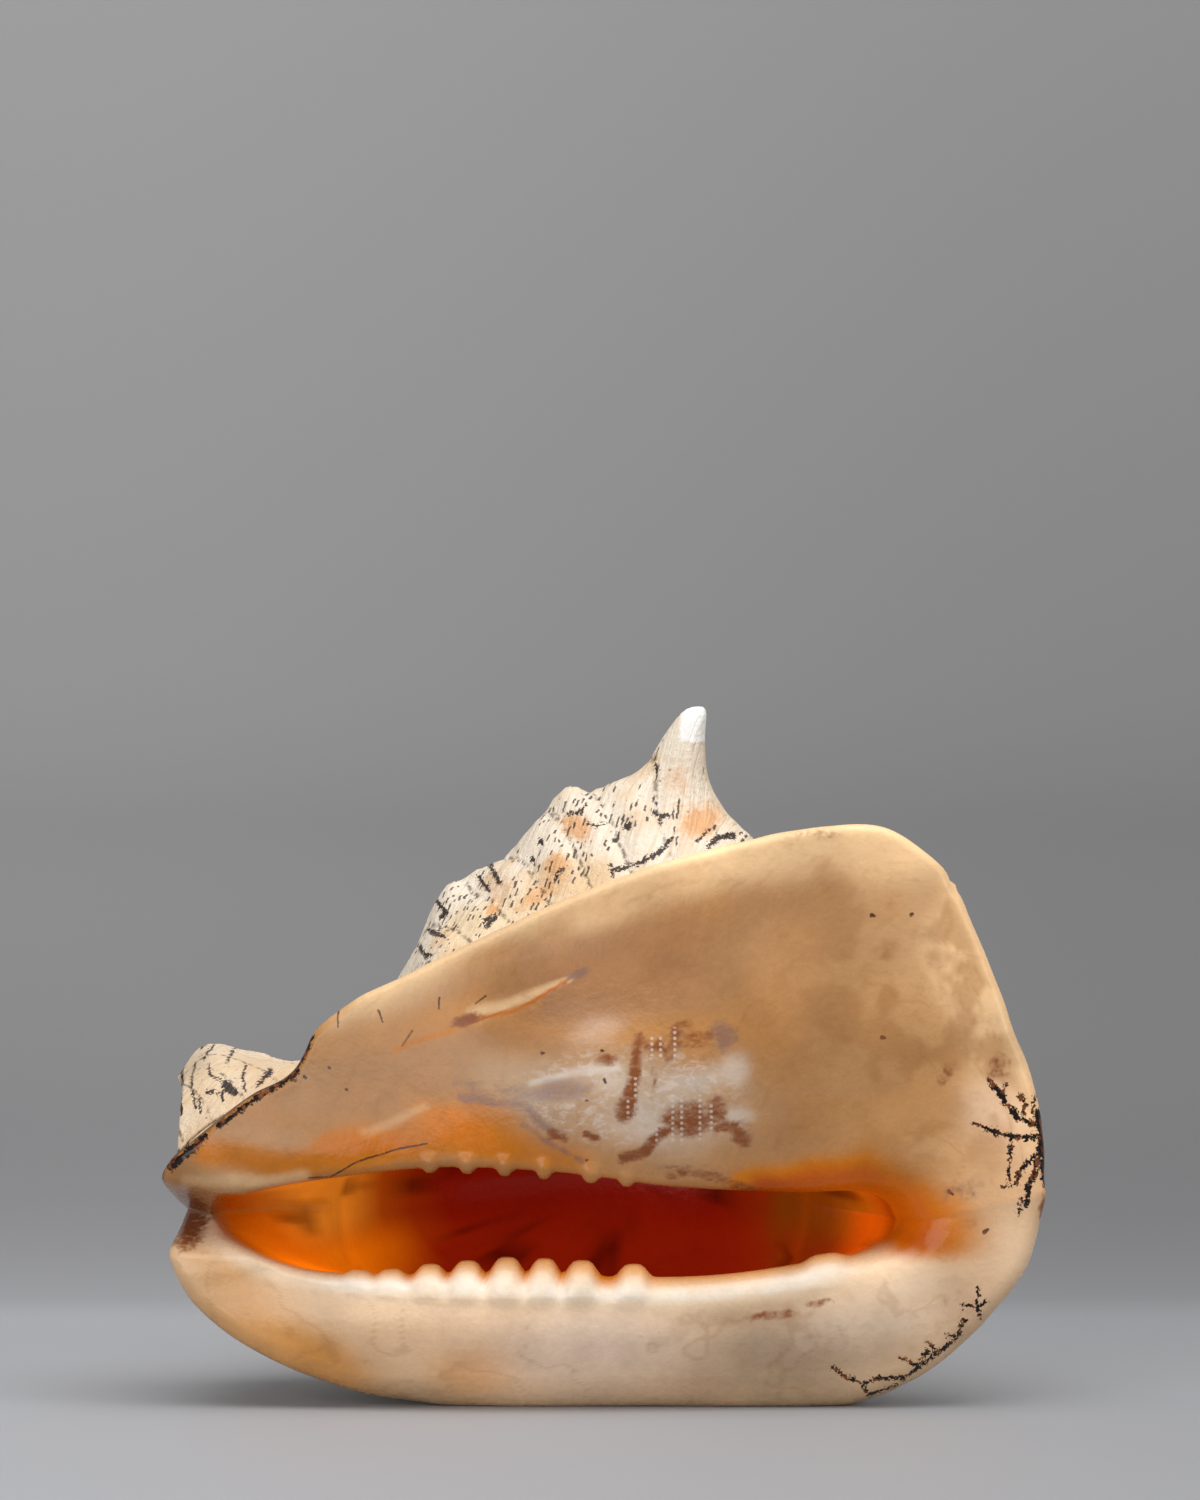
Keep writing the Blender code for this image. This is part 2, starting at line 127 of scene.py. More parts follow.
def bump(x: Array, z: Array, centre: Row, size: Row) -> Array:
    """Give a round hill of height 1, exp(-(dx/a)² - (dz/b)²), about the centre."""
    return np.exp(-(((x - centre[0]) / size[0]) ** 2) - ((z - centre[1]) / size[1]) ** 2)


def srgb(red: float, green: float, blue: float) -> Colour:
    """Turn a screen colour of 0 to 255 into linear light."""
    share = np.array([red, green, blue]) / 255
    linear = np.where(share <= 0.04045, share / 12.92, ((share + 0.055) / 1.055) ** 2.4)
    return tuple(float(v) for v in linear)


def normals_of(points: Array) -> Array:
    """Work out unit normals of a grid of points that is closed along its second axis.

    Args:
        points: Rows by columns by x, y, z.

    Returns:
        The cross product of the central differences along the rows and columns, with length 1.
    """
    along = np.roll(points, -1, axis=1) - np.roll(points, 1, axis=1)
    across = np.gradient(points, axis=0)
    found = np.cross(along, across)
    return found / np.maximum(np.linalg.norm(found, axis=2, keepdims=True), 1e-9)


def wave(at: Array, seed: float) -> Array:
    """Give an uneven wave between -1 and 1: three sines whose lengths share no common multiple."""
    return (np.sin(at + seed) + np.sin(1.73 * at + 2.1 * seed) + np.sin(2.71 * at + 3.7 * seed)) / 3


def grain(points: Array, size: float, octaves: int = 3, seed: float = 0.0) -> Array:
    """Give soft noise between 0 and 1.

    Each octave joins the hashed values of a cubic lattice smoothly. The next has half the cell and half
    the weight.

    Args:
        points: Places in millimetres, with x, y and z last.
        size: The first cell's size.
        octaves: How many to add up.
        seed: Moves the lattice.

    Returns:
        The noise of each point.
    """
    total = np.zeros(points.shape[:-1])
    for octave in range(octaves):
        at = points / size * 2**octave + seed + 17.0 * octave
        cell = np.floor(at)
        part = at - cell
        part = part * part * (3 - 2 * part)
        for corner in itertools.product((0, 1), repeat=3):
            chance = np.modf(np.abs(np.sin((cell + corner) @ (12.9898, 78.233, 37.719))) * 43758.5453)[0]
            weight = np.prod(np.where(corner, part, 1 - part), axis=-1)
            total += chance * weight / 2**octave
    return total / (2 - 2 / 2**octaves)


# Teeth along the rim of the lip: x, how far each stands out, and its half-width.
LIP_TEETH: Knots = (
    (-69, 1.4, 3.6), (-60, 1.8, 3.6), (-49, 2.8, 3.8), (-38.5, 3.8, 4.1), (-27.5, 5.0, 4.4),
    (-17, 4.9, 4.1), (-6.5, 4.5, 4.4), (8, 3.6, 4.2), (62, 1.8, 5.4),
)


@dataclass
class Mouth:
    """The hollow, the toothed rim, the flat front of shield and lip, and their free edge."""

    side_steps: int = 200
    hollow_rings: int = 9
    roll_rings: int = 8
    face_rings: int = 80
    edge_rings: int = 13
    # The rim of the mouth. Each row is a station from the canal notch (0) to the spire end (1), then x, z.
    rim_upper: Knots = (
        (0.00, -112.5, 53), (0.03, -110, 58), (0.08, -101, 60), (0.14, -88.5, 63), (0.20, -76, 65),
        (0.33, -49, 68), (0.50, -12.5, 67), (0.66, 21, 62.5), (0.80, 52, 60.5), (0.93, 76, 59),
        (0.97, 80.5, 56), (1.00, 82.5, 51.5),
    )
    rim_lower: Knots = (
        (0.00, -112.5, 53), (0.03, -107.5, 48), (0.07, -99, 43.5), (0.12, -88, 39.5), (0.20, -70, 37.5),
        (0.33, -46, 38), (0.52, -4, 37.5), (0.66, 28, 37.5), (0.78, 52, 40), (0.93, 77, 45),
        (0.97, 81, 48), (1.00, 82.5, 51.5),
    )
    # The free edge of the shield (upper) and of the lip (lower), as station, x, extra depth, z.
    edge_upper: Knots = (
        (0.00, -120, 38, 53), (0.03, -123, 16, 59), (0.05, -125, 3, 64), (0.07, -123, 0, 68.5),
        (0.12, -112.5, 0, 78), (0.17, -99.5, 0, 88), (0.21, -88.5, 0, 94), (0.235, -85, 0, 99),
        (0.26, -81.5, 0, 106), (0.29, -73, 0, 113), (0.35, -57.5, 0, 121), (0.42, -35, 0, 132),
        (0.50, -10, 0, 143.5), (0.57, 15.5, 0, 153), (0.64, 40.5, 0, 159.5), (0.70, 55, 0, 162.5),
        (0.75, 70, 0, 164), (0.79, 81.5, 0, 162), (0.82, 90, 0, 156.5), (0.85, 97.3, 0, 149.4),
        (0.88, 103.2, 0, 138), (0.91, 108.8, 0, 124), (0.94, 115.5, 0, 105.5), (0.97, 122.4, 0, 85.5),
        (1.00, 124.5, 0, 59),
    )
    edge_lower: Knots = (
        (0.00, -120, 38, 53), (0.03, -121, 14, 48.5), (0.05, -122.5, 3, 44.5), (0.08, -121.5, 0, 39),
        (0.12, -117.5, 0, 31), (0.17, -107.5, 0, 21.5), (0.23, -92.5, 0, 12.5), (0.30, -76, 0, 6),
        (0.38, -55, 0, 1), (0.46, -32, 0, -1.3), (0.62, 15.5, 0, -1.3), (0.76, 58, 0, -1.3),
        (0.83, 77, 0, 2.5), (0.87, 89, 0, 8.5), (0.91, 99.5, 0, 16.5), (0.945, 109.5, 0, 26.5),
        (0.975, 119.5, 0, 40), (1.00, 124.5, 0, 59),
    )
    # How far the surface rolls over from the front into the mouth, by station.
    roll_upper: Knots = ((0.0, 3), (0.10, 3), (0.30, 2.5), (0.70, 3), (0.82, 6), (0.91, 12), (1.0, 20))
    roll_lower: Knots = ((0.0, 3), (0.07, 4), (0.20, 6.5), (0.78, 6.5), (0.92, 11), (1.0, 20))
    # Thickness of the free edge, by station, and how deep the canal floor lies at the rim.
    thick_upper: Knots = ((0.0, 3), (0.05, 5), (0.25, 5), (0.60, 6), (0.85, 7), (1.0, 10))
    thick_lower: Knots = ((0.0, 3), (0.05, 7), (0.20, 12), (0.80, 13), (1.0, 10))
    canal_depth: Knots = ((0.0, 22), (0.03, 12), (0.07, 2), (0.12, 0), (1.0, 0))
    # The hollow: its widest ring, how far it rises and drops, and its bottom.
    hollow_centre: Row = (-9.0, 54.0)
    hollow_half_length: float = 68.0
    hollow_rise: float = 26.0
    hollow_drop: float = 39.0
    hollow_mid_y: float = 42.0
    hollow_end: Row = (8.0, 104.0, 58.0)
    # The distance from the rim that the finish reads at the widest ring. It doubles to the bottom.
    hollow_reach: float = 60.0
    # Teeth along the rim: x, how far each stands out, and its half-width.
    lip_teeth: Knots = LIP_TEETH
    shield_teeth: Knots = (
        (-49, 1.5, 1.9), (-38.5, 1.9, 2.0), (-28, 2.2, 2.1), (-17, 2.3, 2.0), (-4, 2.1, 2.2), (6, 1.7, 1.9),
    )

    def stations(self, rim: Knots, edge: Knots) -> Array:
        """Space the stations of one side evenly along the rim and the free edge together.

        Args:
            rim: The rim of this side.
            edge: The free edge of this side.

        Returns:
            side_steps + 1 stations from 0 to 1.
        """
        fine = np.linspace(0, 1, 2001)
        steps = np.linalg.norm(np.diff(through(rim, fine), axis=0), axis=1)
        steps = steps + np.linalg.norm(np.diff(through(edge, fine)[:, [0, 2]], axis=0), axis=1)
        length = np.concatenate([[0], np.cumsum(steps + 0.04)])
        return np.interp(np.linspace(0, length[-1], self.side_steps + 1), length, fine)

    def depth(self, x: Array, z: Array) -> Array:
        """Give how far the front lies behind the plane of the mouth.

        The wall of the whorl before swells through the shield, which leans back at its top and its spire
        end, and the lip is rounded from top to bottom.

        Args:
            x: Where along the shell.
            z: Height above the floor.

        Returns:
            The sum of hills and smooth steps, in millimetres.
        """
        swelling = -5.0 * bump(x, z, (6.0, 90.0), (46.0, 26.0))
        lobe = -3.0 * bump(x, z, (-92.0, 72.0), (26.0, 12.0))
        lean = 6.5 * ease((z - 100.0) / 60.0) + 3.0 * ease((x - 60.0) / 60.0)
        lip = -5.0 * bump(x, z, (0.0, 21.0), (110.0, 13.0)) + 3.0 * ease((10.0 - z) / 12.0)
        return swelling + lobe + lean + lip

    def teeth(self, points: Array, upper: Array, out: Array) -> Array:
        """Give how far the teeth stand out of the rim along its normal.

        A tooth is its height times exp(-(dx/w)⁴), a flat-topped hill across the rim. It is whole on the
        rim and fades along the front and into the hollow.

        Args:
            points: The grid of rings.
            upper: Which columns are on the shield's side.
            out: Distance out from the rim for each ring and column, below 0 in the hollow.

        Returns:
            The offset of each point.
        """
        rise = np.zeros(points.shape[:2])
        sides = ((self.lip_teeth, ~upper, 10.0, 12.0), (self.shield_teeth, upper, 5.0, 9.0))
        for teeth, side, front, inside in sides:
            along = np.where(out > 0, 1 - ease(out / front), 1 - ease(-out / inside))
            for x, height, width in teeth:
                lean = 0.12 * np.clip(out, -20, 20)
                hill = np.exp(-(np.abs((points[:, :, 0] - x + lean) / width) ** 4))
                rise += height * hill * along * side[None, :]
        return rise

    def build(self) -> tuple[Array, Array]:
        """Work out every ring from the bottom of the hollow to the back of the free edge.

        Returns:
            The grid of points, ring by column, and the traits of each point: distance in from the free
            edge, distance out from the rim, and the signed station, which is below 0 on the lip.
        """
        upper_at = self.stations(self.rim_upper, self.edge_upper)
        lower_at = self.stations(self.rim_lower, self.edge_lower)

        def both(upper: Knots, lower: Knots) -> Array:
            """Join the upper side to the lower one, read backwards."""
            return np.vstack([through(upper, upper_at)[:-1], through(lower, lower_at[::-1])[:-1]])

        rim = both(self.rim_upper, self.rim_lower)
        edge = both(self.edge_upper, self.edge_lower)
        roll = both(self.roll_upper, self.roll_lower)[:, 0]
        half_edge = both(self.thick_upper, self.thick_lower)[:, 0] / 2
        canal = both(self.canal_depth, self.canal_depth)[:, 0]
        signed = np.concatenate([upper_at[:-1], -lower_at[::-1][:-1]])
        outward = edge[:, [0, 2]] - rim
        width = np.linalg.norm(outward, axis=1)
        outward /= width[:, None]
        side = np.minimum(half_edge, 0.3 * width)
        roll = np.minimum(roll, 0.55 * width)

        def at(distance: Array, depth: Array) -> Array:
            """Place points this far out from the rim and this far behind the front."""
            flat = rim + outward * distance[:, None]
            share = np.clip(distance / width, 0, 1)
            notch = canal * (1 - share) + edge[:, 1] * share
            calm = np.exp(-notch / 4.0)
            deep = self.depth(flat[:, 0], flat[:, 1]) * calm + notch + depth
            return np.column_stack([flat[:, 0], deep, flat[:, 1]])

        count = len(width)
        half = count // 2
        upper = np.arange(count) < half
        turn = np.where(upper, upper_at_share(upper_at, half), upper_at_share(lower_at, half, True))
        swell = np.sin(math.pi * turn) ** 0.8
        middle = np.column_stack([
            self.hollow_centre[0] - self.hollow_half_length * np.cos(math.pi * turn),
            np.full(count, self.hollow_mid_y),
            self.hollow_centre[1] + np.where(upper, self.hollow_rise, -self.hollow_drop) * swell,
        ])
        end = np.array(self.hollow_end)
        rim_points = at(0 * roll, roll)
        rings, out = [], []
        for k in range(1, self.hollow_rings):
            angle = QUARTER * (1 - k / self.hollow_rings)
            ring = end + (middle - end) * math.cos(angle)
            ring[:, 1] = self.hollow_mid_y + (end[1] - self.hollow_mid_y) * math.sin(angle)
            rings.append(ring)
            out.append(np.full(count, -self.hollow_reach * (2 - k / self.hollow_rings)))
        for k in range(self.hollow_rings):
            share = 1 - k / self.hollow_rings
            ring = rim_points + (middle - rim_points) * ease(share)
            ring[:, 1] = rim_points[:, 1] + (middle[:, 1] - rim_points[:, 1]) * share
            rings.append(ring)
            out.append(np.linalg.norm(ring - rim_points, axis=1) * -1)
        for angle in np.linspace(QUARTER, 0, self.roll_rings + 1):
            rings.append(at(roll * (1 - math.sin(angle)), roll * (1 - math.cos(angle))))
            out.append(roll * (1 - angle / QUARTER))
        for k in range(1, self.face_rings + 1):
            distance = roll + (width - side - roll) * k / self.face_rings
            rings.append(at(distance, 0 * roll))
            out.append(distance)
        for angle in np.linspace(0, math.pi, self.edge_rings + 2)[1:]:
            rings.append(at(width - side * (1 - math.sin(angle)), half_edge * (1 - math.cos(angle))))
            out.append(width + half_edge * (angle / QUARTER - 1))
        grid, out_grid = np.array(rings), np.array(out)
        rise = self.teeth(grid, upper, out_grid)
        grid = grid + normals_of(grid) * rise[:, :, None]
        grid = grid + self.unevenness(grid, out_grid, width, signed)
        station = np.broadcast_to(signed, out_grid.shape)
        traits = np.stack([width[None, :] - out_grid, out_grid, station], axis=2)
        return grid, traits

    def unevenness(self, grid: Array, out: Array, width: Array, signed: Array) -> Array:
        """Give the small waves of a grown surface: folds and a rounded bead on the lip, a chipped free edge.

        Args:
            grid: The points.
            out: Distance out from the rim.
            width: Distance from the rim to the free edge.
            signed: The station, below 0 on the lip.

        Returns:
            The offset of each point.
        """
        x, z = grid[:, :, 0], grid[:, :, 2]
        near = ease((out - 0.8 * width[None]) / (0.2 * width[None]))
        front = ease(out / 6.0) * (1 - near)
        lip = (signed[None] < 0) * front
        folds = 0.55 * wave(x / 6.5 + 0.05 * z, 1.3) * lip * bump(x, z, (-8, 30), (52, 16))
        slow = 0.5 * wave(x / 21.0, 0.4) * wave(z / 17.0, 2.2) * front
        waver = 0.45 * wave(x / 7.0 + z / 5.0, 0.9) * near
        chips = -0.9 * bump(x, z, (98.0, 147.0), (3.0, 4.0)) * near * (1 + wave(z * 1.4, 0.3))
        shift = np.zeros_like(grid)
        bead = 2.0 * np.exp(-(((out - 4.0) / 5.5) ** 2)) * (signed[None] < 0) * ease((70 - np.abs(x)) / 30.0)
        shift[:, :, 1] = folds + slow + 0.4 * waver - bead
        shift[:, :, 0] = (waver + chips) * 0.6
        shift[:, :, 2] = (waver + chips) * 0.6
        return shift


def upper_at_share(stations: Array, half: int, backwards: bool = False) -> Array:
    """Spread the stations of one side over both halves of a ring, so that a mask can pick from it."""
    run = stations[::-1][:-1] if backwards else stations[:-1]
    return np.concatenate([run[:half], run[:half]])


@dataclass
class Whorl:
    """The body whorl: ivory outside, with five horns on its shoulder and knobs in rows below."""

    back_steps: int = 216
    # The whorl closes to a point at the canal notch, over this share of its stations.
    cap_station: float = 0.06
    notch: Row = (-120.0, 41.0, 53.0)
    # Share of the way along the mouth against station along the whorl.
    along: Knots = (
        (0, 0), (0.05, 0.06), (0.12, 0.12), (0.17, 0.19), (0.21, 0.26), (0.26, 0.32), (0.35, 0.42),
        (0.42, 0.56), (0.50, 0.68), (0.57, 0.79), (0.64, 0.86), (0.75, 0.91), (0.85, 0.955), (1, 1),
    )
    # Where the whorl leaves the back of the shield (upper) and of the lip (lower): station, x, y, z.
    join_upper: Knots = (
        (0.06, -121, 9, 71), (0.12, -112, 9, 79), (0.20, -98, 9, 86), (0.27, -87, 9, 91),
        (0.34, -74, 9, 98), (0.42, -59, 10, 112), (0.48, -49, 11, 119), (0.54, -39, 11, 124),
        (0.60, -27, 12, 130), (0.66, -14, 12, 136.5), (0.72, 0, 13, 142), (0.78, 13, 13, 147),
        (0.82, 23, 14, 149.5), (0.86, 33, 15, 148), (0.91, 49, 15, 137), (0.96, 71, 16, 110),
        (0.985, 86, 15, 84), (1.00, 93, 27, 67),
    )
    join_lower: Knots = (
        (0.06, -118, 12, 42), (0.12, -110, 13, 32), (0.20, -96, 14, 24), (0.27, -83, 14, 19),
        (0.34, -70, 15, 15), (0.42, -57, 15, 12), (0.54, -35, 15, 10.5), (0.66, -12, 15, 10),
        (0.78, 11, 15, 10), (0.86, 32, 16, 13), (0.91, 54, 18, 21), (0.96, 77, 20, 37),
        (1.00, 93, 27, 67),
    )
    # Profiles of the whorl on its upper side, its back and its lower side: station, x, radius.
    upper: Knots = (
        (0.06, -124, 6), (0.12, -117, 15), (0.20, -104, 12.8), (0.27, -91, 10.3), (0.34, -75, 14),
        (0.42, -60, 34), (0.48, -50, 50), (0.54, -40, 58.5), (0.60, -28, 71), (0.66, -14, 82.5),
        (0.72, 0, 89), (0.78, 13, 91), (0.82, 23, 90.5), (0.86, 31, 86), (0.91, 42, 75),
        (0.96, 54, 56), (1.00, 64, 38),
    )
    back: Knots = (
        (0.06, -117, 18), (0.12, -112, 23), (0.20, -101, 21.5), (0.27, -89, 17.5), (0.34, -76, 22),
        (0.42, -61, 39), (0.48, -51, 50), (0.54, -40, 59), (0.60, -28, 69), (0.66, -14, 78),
        (0.72, 0, 84), (0.78, 12, 87), (0.82, 22, 87), (0.86, 31, 83), (0.91, 43, 73),
        (0.96, 55, 55), (1.00, 64, 38),
    )
    lower: Knots = (
        (0.06, -118, 26), (0.12, -109, 40), (0.20, -95, 51), (0.27, -83, 58), (0.34, -70, 64),
        (0.42, -57, 69), (0.54, -35, 73), (0.66, -12, 77), (0.72, 0, 78.5), (0.78, 11, 79.5),
        (0.82, 20, 79), (0.86, 29, 76), (0.91, 41, 68), (0.96, 54, 54), (1.00, 64, 38),
    )
    # Horns on the shoulder. Angles run from the mouth over the top, in degrees.
    shoulder: float = 0.81
    first_horn: float = 88.0
    horn_step: float = 36.0
    horn_heights: Row = (23.0, 20.0, 24.0, 25.0, 24.0)
    horn_lean: float = 0.3
    horn_shift: float = 2.4
    # A horn's section: share of the way out from its axis, radius there, and how far below the tip.
    horn_outline: Knots = (
        (0, 0, 0), (0.1, 2.2, 0.4), (0.2, 3.9, 1.9), (0.3, 5, 4.6), (0.45, 6.4, 9.5),
        (0.6, 8.1, 14.5), (0.72, 9.7, 18.5), (0.85, 12.8, 22), (1, 18, 24),
    )
    # How far the horn's section is stretched away from the spire and towards it.
    horn_sides: Row = (1.05, 0.66)
    flare_height: float = 5.0
    flare_width: float = 14.0
    # The flare is this wide on the side towards the spire.
    flare_right: float = 8.0
    # Rows of blunt knobs: station, first angle, step, count, height; and their width at 1/e of that.
    knob_rows: Knots = ((0.665, 92.0, 26.0, 7, 4.8), (0.518, 90.0, 28.0, 6, 7.5))
    knob_width: float = 8.5
    crowding: float = 0.5

    def span(self, stations: Array) -> tuple[Array, Array]:
        """Give the angles at which the whorl leaves the shield and comes to the lip."""
        first, last = through(self.join_upper, stations), through(self.join_lower, stations)
        start = np.arctan2(first[:, 2] - AXIS_Z, AXIS_Y - first[:, 1])
        stop = np.arctan2(last[:, 2] - AXIS_Z, AXIS_Y - last[:, 1]) % (2 * math.pi)
        return start, stop

    def plain(self, stations: Array, angles: Array) -> tuple[Array, Array]:
        """Work out the whorl without its horns and knobs.

        The radius goes smoothly from the upper profile to the back one and on to the lower one as the
        angle grows. Next to the shield it grows before x falls, which heaps the glaze on the spire, and
        over the snout, where it shrinks instead, it shrinks early.

        Args:
            stations: One station for each row.
            angles: Row by column.

        Returns:
            x and the radius, row by column.
        """
        first, last = through(self.join_upper, stations), through(self.join_lower, stations)
        start, stop = self.span(stations)
        ribs = [through(profile, stations) for profile in (self.upper, self.back, self.lower)]
        ends = [
            np.column_stack([end[:, 0], np.hypot(end[:, 2] - AXIS_Z, AXIS_Y - end[:, 1])])
            for end in (first, last)
        ]
        part = (angles - start[:, None]) / (QUARTER - start[:, None])
        falling = ends[0][:, 1] > ribs[0][:, 1]
        over = np.where(falling[:, None], 1 - (1 - np.clip(part, 0, 1)) ** 3, ease(part))
        late = np.clip(part, 0, 1) ** 3
        under = ease((angles - 3 * QUARTER) / (stop[:, None] - 3 * QUARTER))
        back = np.sin(np.clip(angles - QUARTER, 0, QUARTER)) ** 2
        low = np.sin(np.clip(angles - 2 * QUARTER, 0, QUARTER)) ** 2

        def blend(column: int, over: Array) -> Array:
            """Mix the five curves' values for this column."""
            curves = [ends[0], *ribs, ends[1]]
            mix = (1 - over, over * (1 - back), back * (1 - low), low * (1 - under), under)
            return sum(weight * curve[:, column][:, None] for weight, curve in zip(mix, curves))

        return blend(0, late), blend(1, over)

    def foot(self, station: float, degrees: float) -> tuple[float, float]:
        """Give x and the radius of the plain whorl at one place."""
        x, radius = self.plain(np.array([station]), np.array([[math.radians(degrees)]]))
        return float(x[0, 0]), float(radius[0, 0])

    def raise_hills(self, x: Array, radius: Array, angles: Array) -> Array:
        """Add the knobs and the flare of each horn's foot to the radius, each a hill exp(-d²/w²).

        Args:
            x: Where along the shell.
            radius: The radius so far.
            angles: The angle of each point.

        Returns:
            The new radius.
        """
        flare = (self.flare_height, self.flare_width, self.flare_right)
        horns = range(len(self.horn_heights))
        hills = [(self.shoulder, self.first_horn + i * self.horn_step, *flare) for i in horns]
        for station, first, step, count, height in self.knob_rows:
            knob = (height, self.knob_width, self.knob_width)
            hills += [(station, first + k * step, *knob) for k in range(int(count))]
        for station, degrees, height, width, right in hills:
            centre = self.foot(station, degrees)[0]
            across = radius * (angles - math.radians(degrees)) / width
            aside = (x - centre) / np.where(x > centre, right, width)
            radius = radius + height * np.exp(-(aside**2) - across**2)
        return radius

    def raise_horn(
        self, x: Array, radius: Array, angles: Array, degrees: float, height: float
    ) -> tuple[Array, Array, Array]:
        """Gather the surface round one place on the shoulder and draw it out into a horn.

        A point at distance d from the horn's axis moves to the radius and height that the horn's
        outline gives for d over its reach. The reach is longer on the side away from the spire.

        Args:
            x: Where along the shell.
            radius: The radius so far.
            angles: The angle of each point.
            degrees: The horn's angle.
            height: How far its tip stands out of the shoulder.

        Returns:
            The new x, radius and angles.
        """
        foot_x, foot_radius = self.foot(self.shoulder, degrees)
        foot_x += self.horn_shift
        foot_radius += self.flare_height
        reach = self.horn_outline[-1][1]
        across = radius * (angles - math.radians(degrees))
        aside = x - foot_x
        long_side = np.where(aside < 0, self.horn_sides[0], self.horn_sides[1])
        distance = np.hypot(aside / long_side, across)
        share = np.clip(distance / reach, 0, 1)
        drawn = through(self.horn_outline, share.ravel()).reshape(*share.shape, 2)
        tall = height - self.flare_height
        gather = np.where(distance < reach, drawn[:, :, 0] / np.maximum(distance, 1e-6), 1.0)
        up = tall * (1 - drawn[:, :, 1] / self.horn_outline[-1][2])
        own = np.where(distance < reach, share**2, 1.0)
        new_x = foot_x + aside * gather + self.horn_lean * (up - 0.2 * tall) * (1 - own)
        base = foot_radius * (1 - own) + radius * own
        new_angles = math.radians(degrees) + across * gather / foot_radius
        inside = distance < reach
        return (
            np.where(inside, new_x, x),
            np.where(inside, base + up, radius),
            np.where(inside, new_angles, angles),
        )

    def build(self, mouth_stations: Array) -> tuple[Array, Array]:
        """Work out the rows of the whorl from the canal notch to the foot of the spire.

        Args:
            mouth_stations: The stations of the mouth's upper side.

        Returns:
            The points, row by column, the first row being the notch, and the place of each on the coat:
            length round the whorl, length along it, and the station.
        """
        stations = through(self.along, mouth_stations)[:, 0]
        stations[-1] = 1.0
        inside = np.maximum(stations, self.cap_station)
        start, stop = self.span(inside)
        share = np.linspace(0, 1, self.back_steps + 1)
        angles = start[:, None] + (stop - start)[:, None] * share[None]
        step = math.radians(self.horn_step)
        first = math.radians(self.first_horn)
        last = first + (len(self.horn_heights) - 0.5) * step
        horned = (angles > first - step / 2) & (angles < last)
        pull = self.crowding * step / (2 * math.pi) * np.sin(2 * math.pi * (angles - first) / step)
        angles = np.where(horned, angles - pull, angles)
        x, radius = self.plain(inside, angles)
        plain_angles, plain_x = angles.copy(), x.copy()
        radius = self.raise_hills(x, radius, angles)
        radius = radius + self.folds(x, angles, inside[:, None])
        for i, height in enumerate(self.horn_heights):
            place = self.first_horn + i * self.horn_step
            x, radius, angles = self.raise_horn(x, radius, angles, place, height)
        points = np.stack([x, AXIS_Y - radius * np.cos(angles), AXIS_Z + radius * np.sin(angles)], axis=2)
        notch = np.array(self.notch)
        turn = QUARTER * np.clip(stations / self.cap_station, 0, 1)
        capped = stations < self.cap_station
        reach = np.column_stack([1 - np.cos(turn), np.sin(turn), np.sin(turn)])
        small = notch + (points - notch) * reach[:, None, :]
        points = np.where(capped[:, None, None], small, points)
        points[0] = notch
        station = np.broadcast_to(inside[:, None], x.shape)
        coat = np.stack([plain_angles * ROUND_SCALE, plain_x, station], axis=2)
        return points, coat

    def folds(self, x: Array, angles: Array, stations: Array) -> Array:
        """Give the growth lines, and the rounded cords with a crease between each two.

        Args:
            x: Where along the shell.
            angles: The angle of each point.
            stations: The station of each row.

        Returns:
            The offset of the radius, which is 0 next to the shield and the lip.
        """
        free = ease((angles - 0.9) / 0.4) * ease((5.2 - angles) / 0.5) * ease((stations - 0.1) / 0.15)
        growth = 0.35 * wave((GROWTH_LEAN[0] * x + GROWTH_LEAN[1] * ROUND_SCALE * angles) / 1.7, 1.9)
        cords = x * CORD_LEAN[0] + ROUND_SCALE * angles * CORD_LEAN[1]
        ribs = np.abs(np.sin(math.pi * cords / CORD_GAP)) ** 0.6 - 0.7
        ribbed = ease((0.86 - stations) / 0.12)
        slow = 0.7 * wave(x / 9.0 + 0.8 * angles, 0.5)
        return free * (growth + slow + 2.8 * ribs * ribbed)


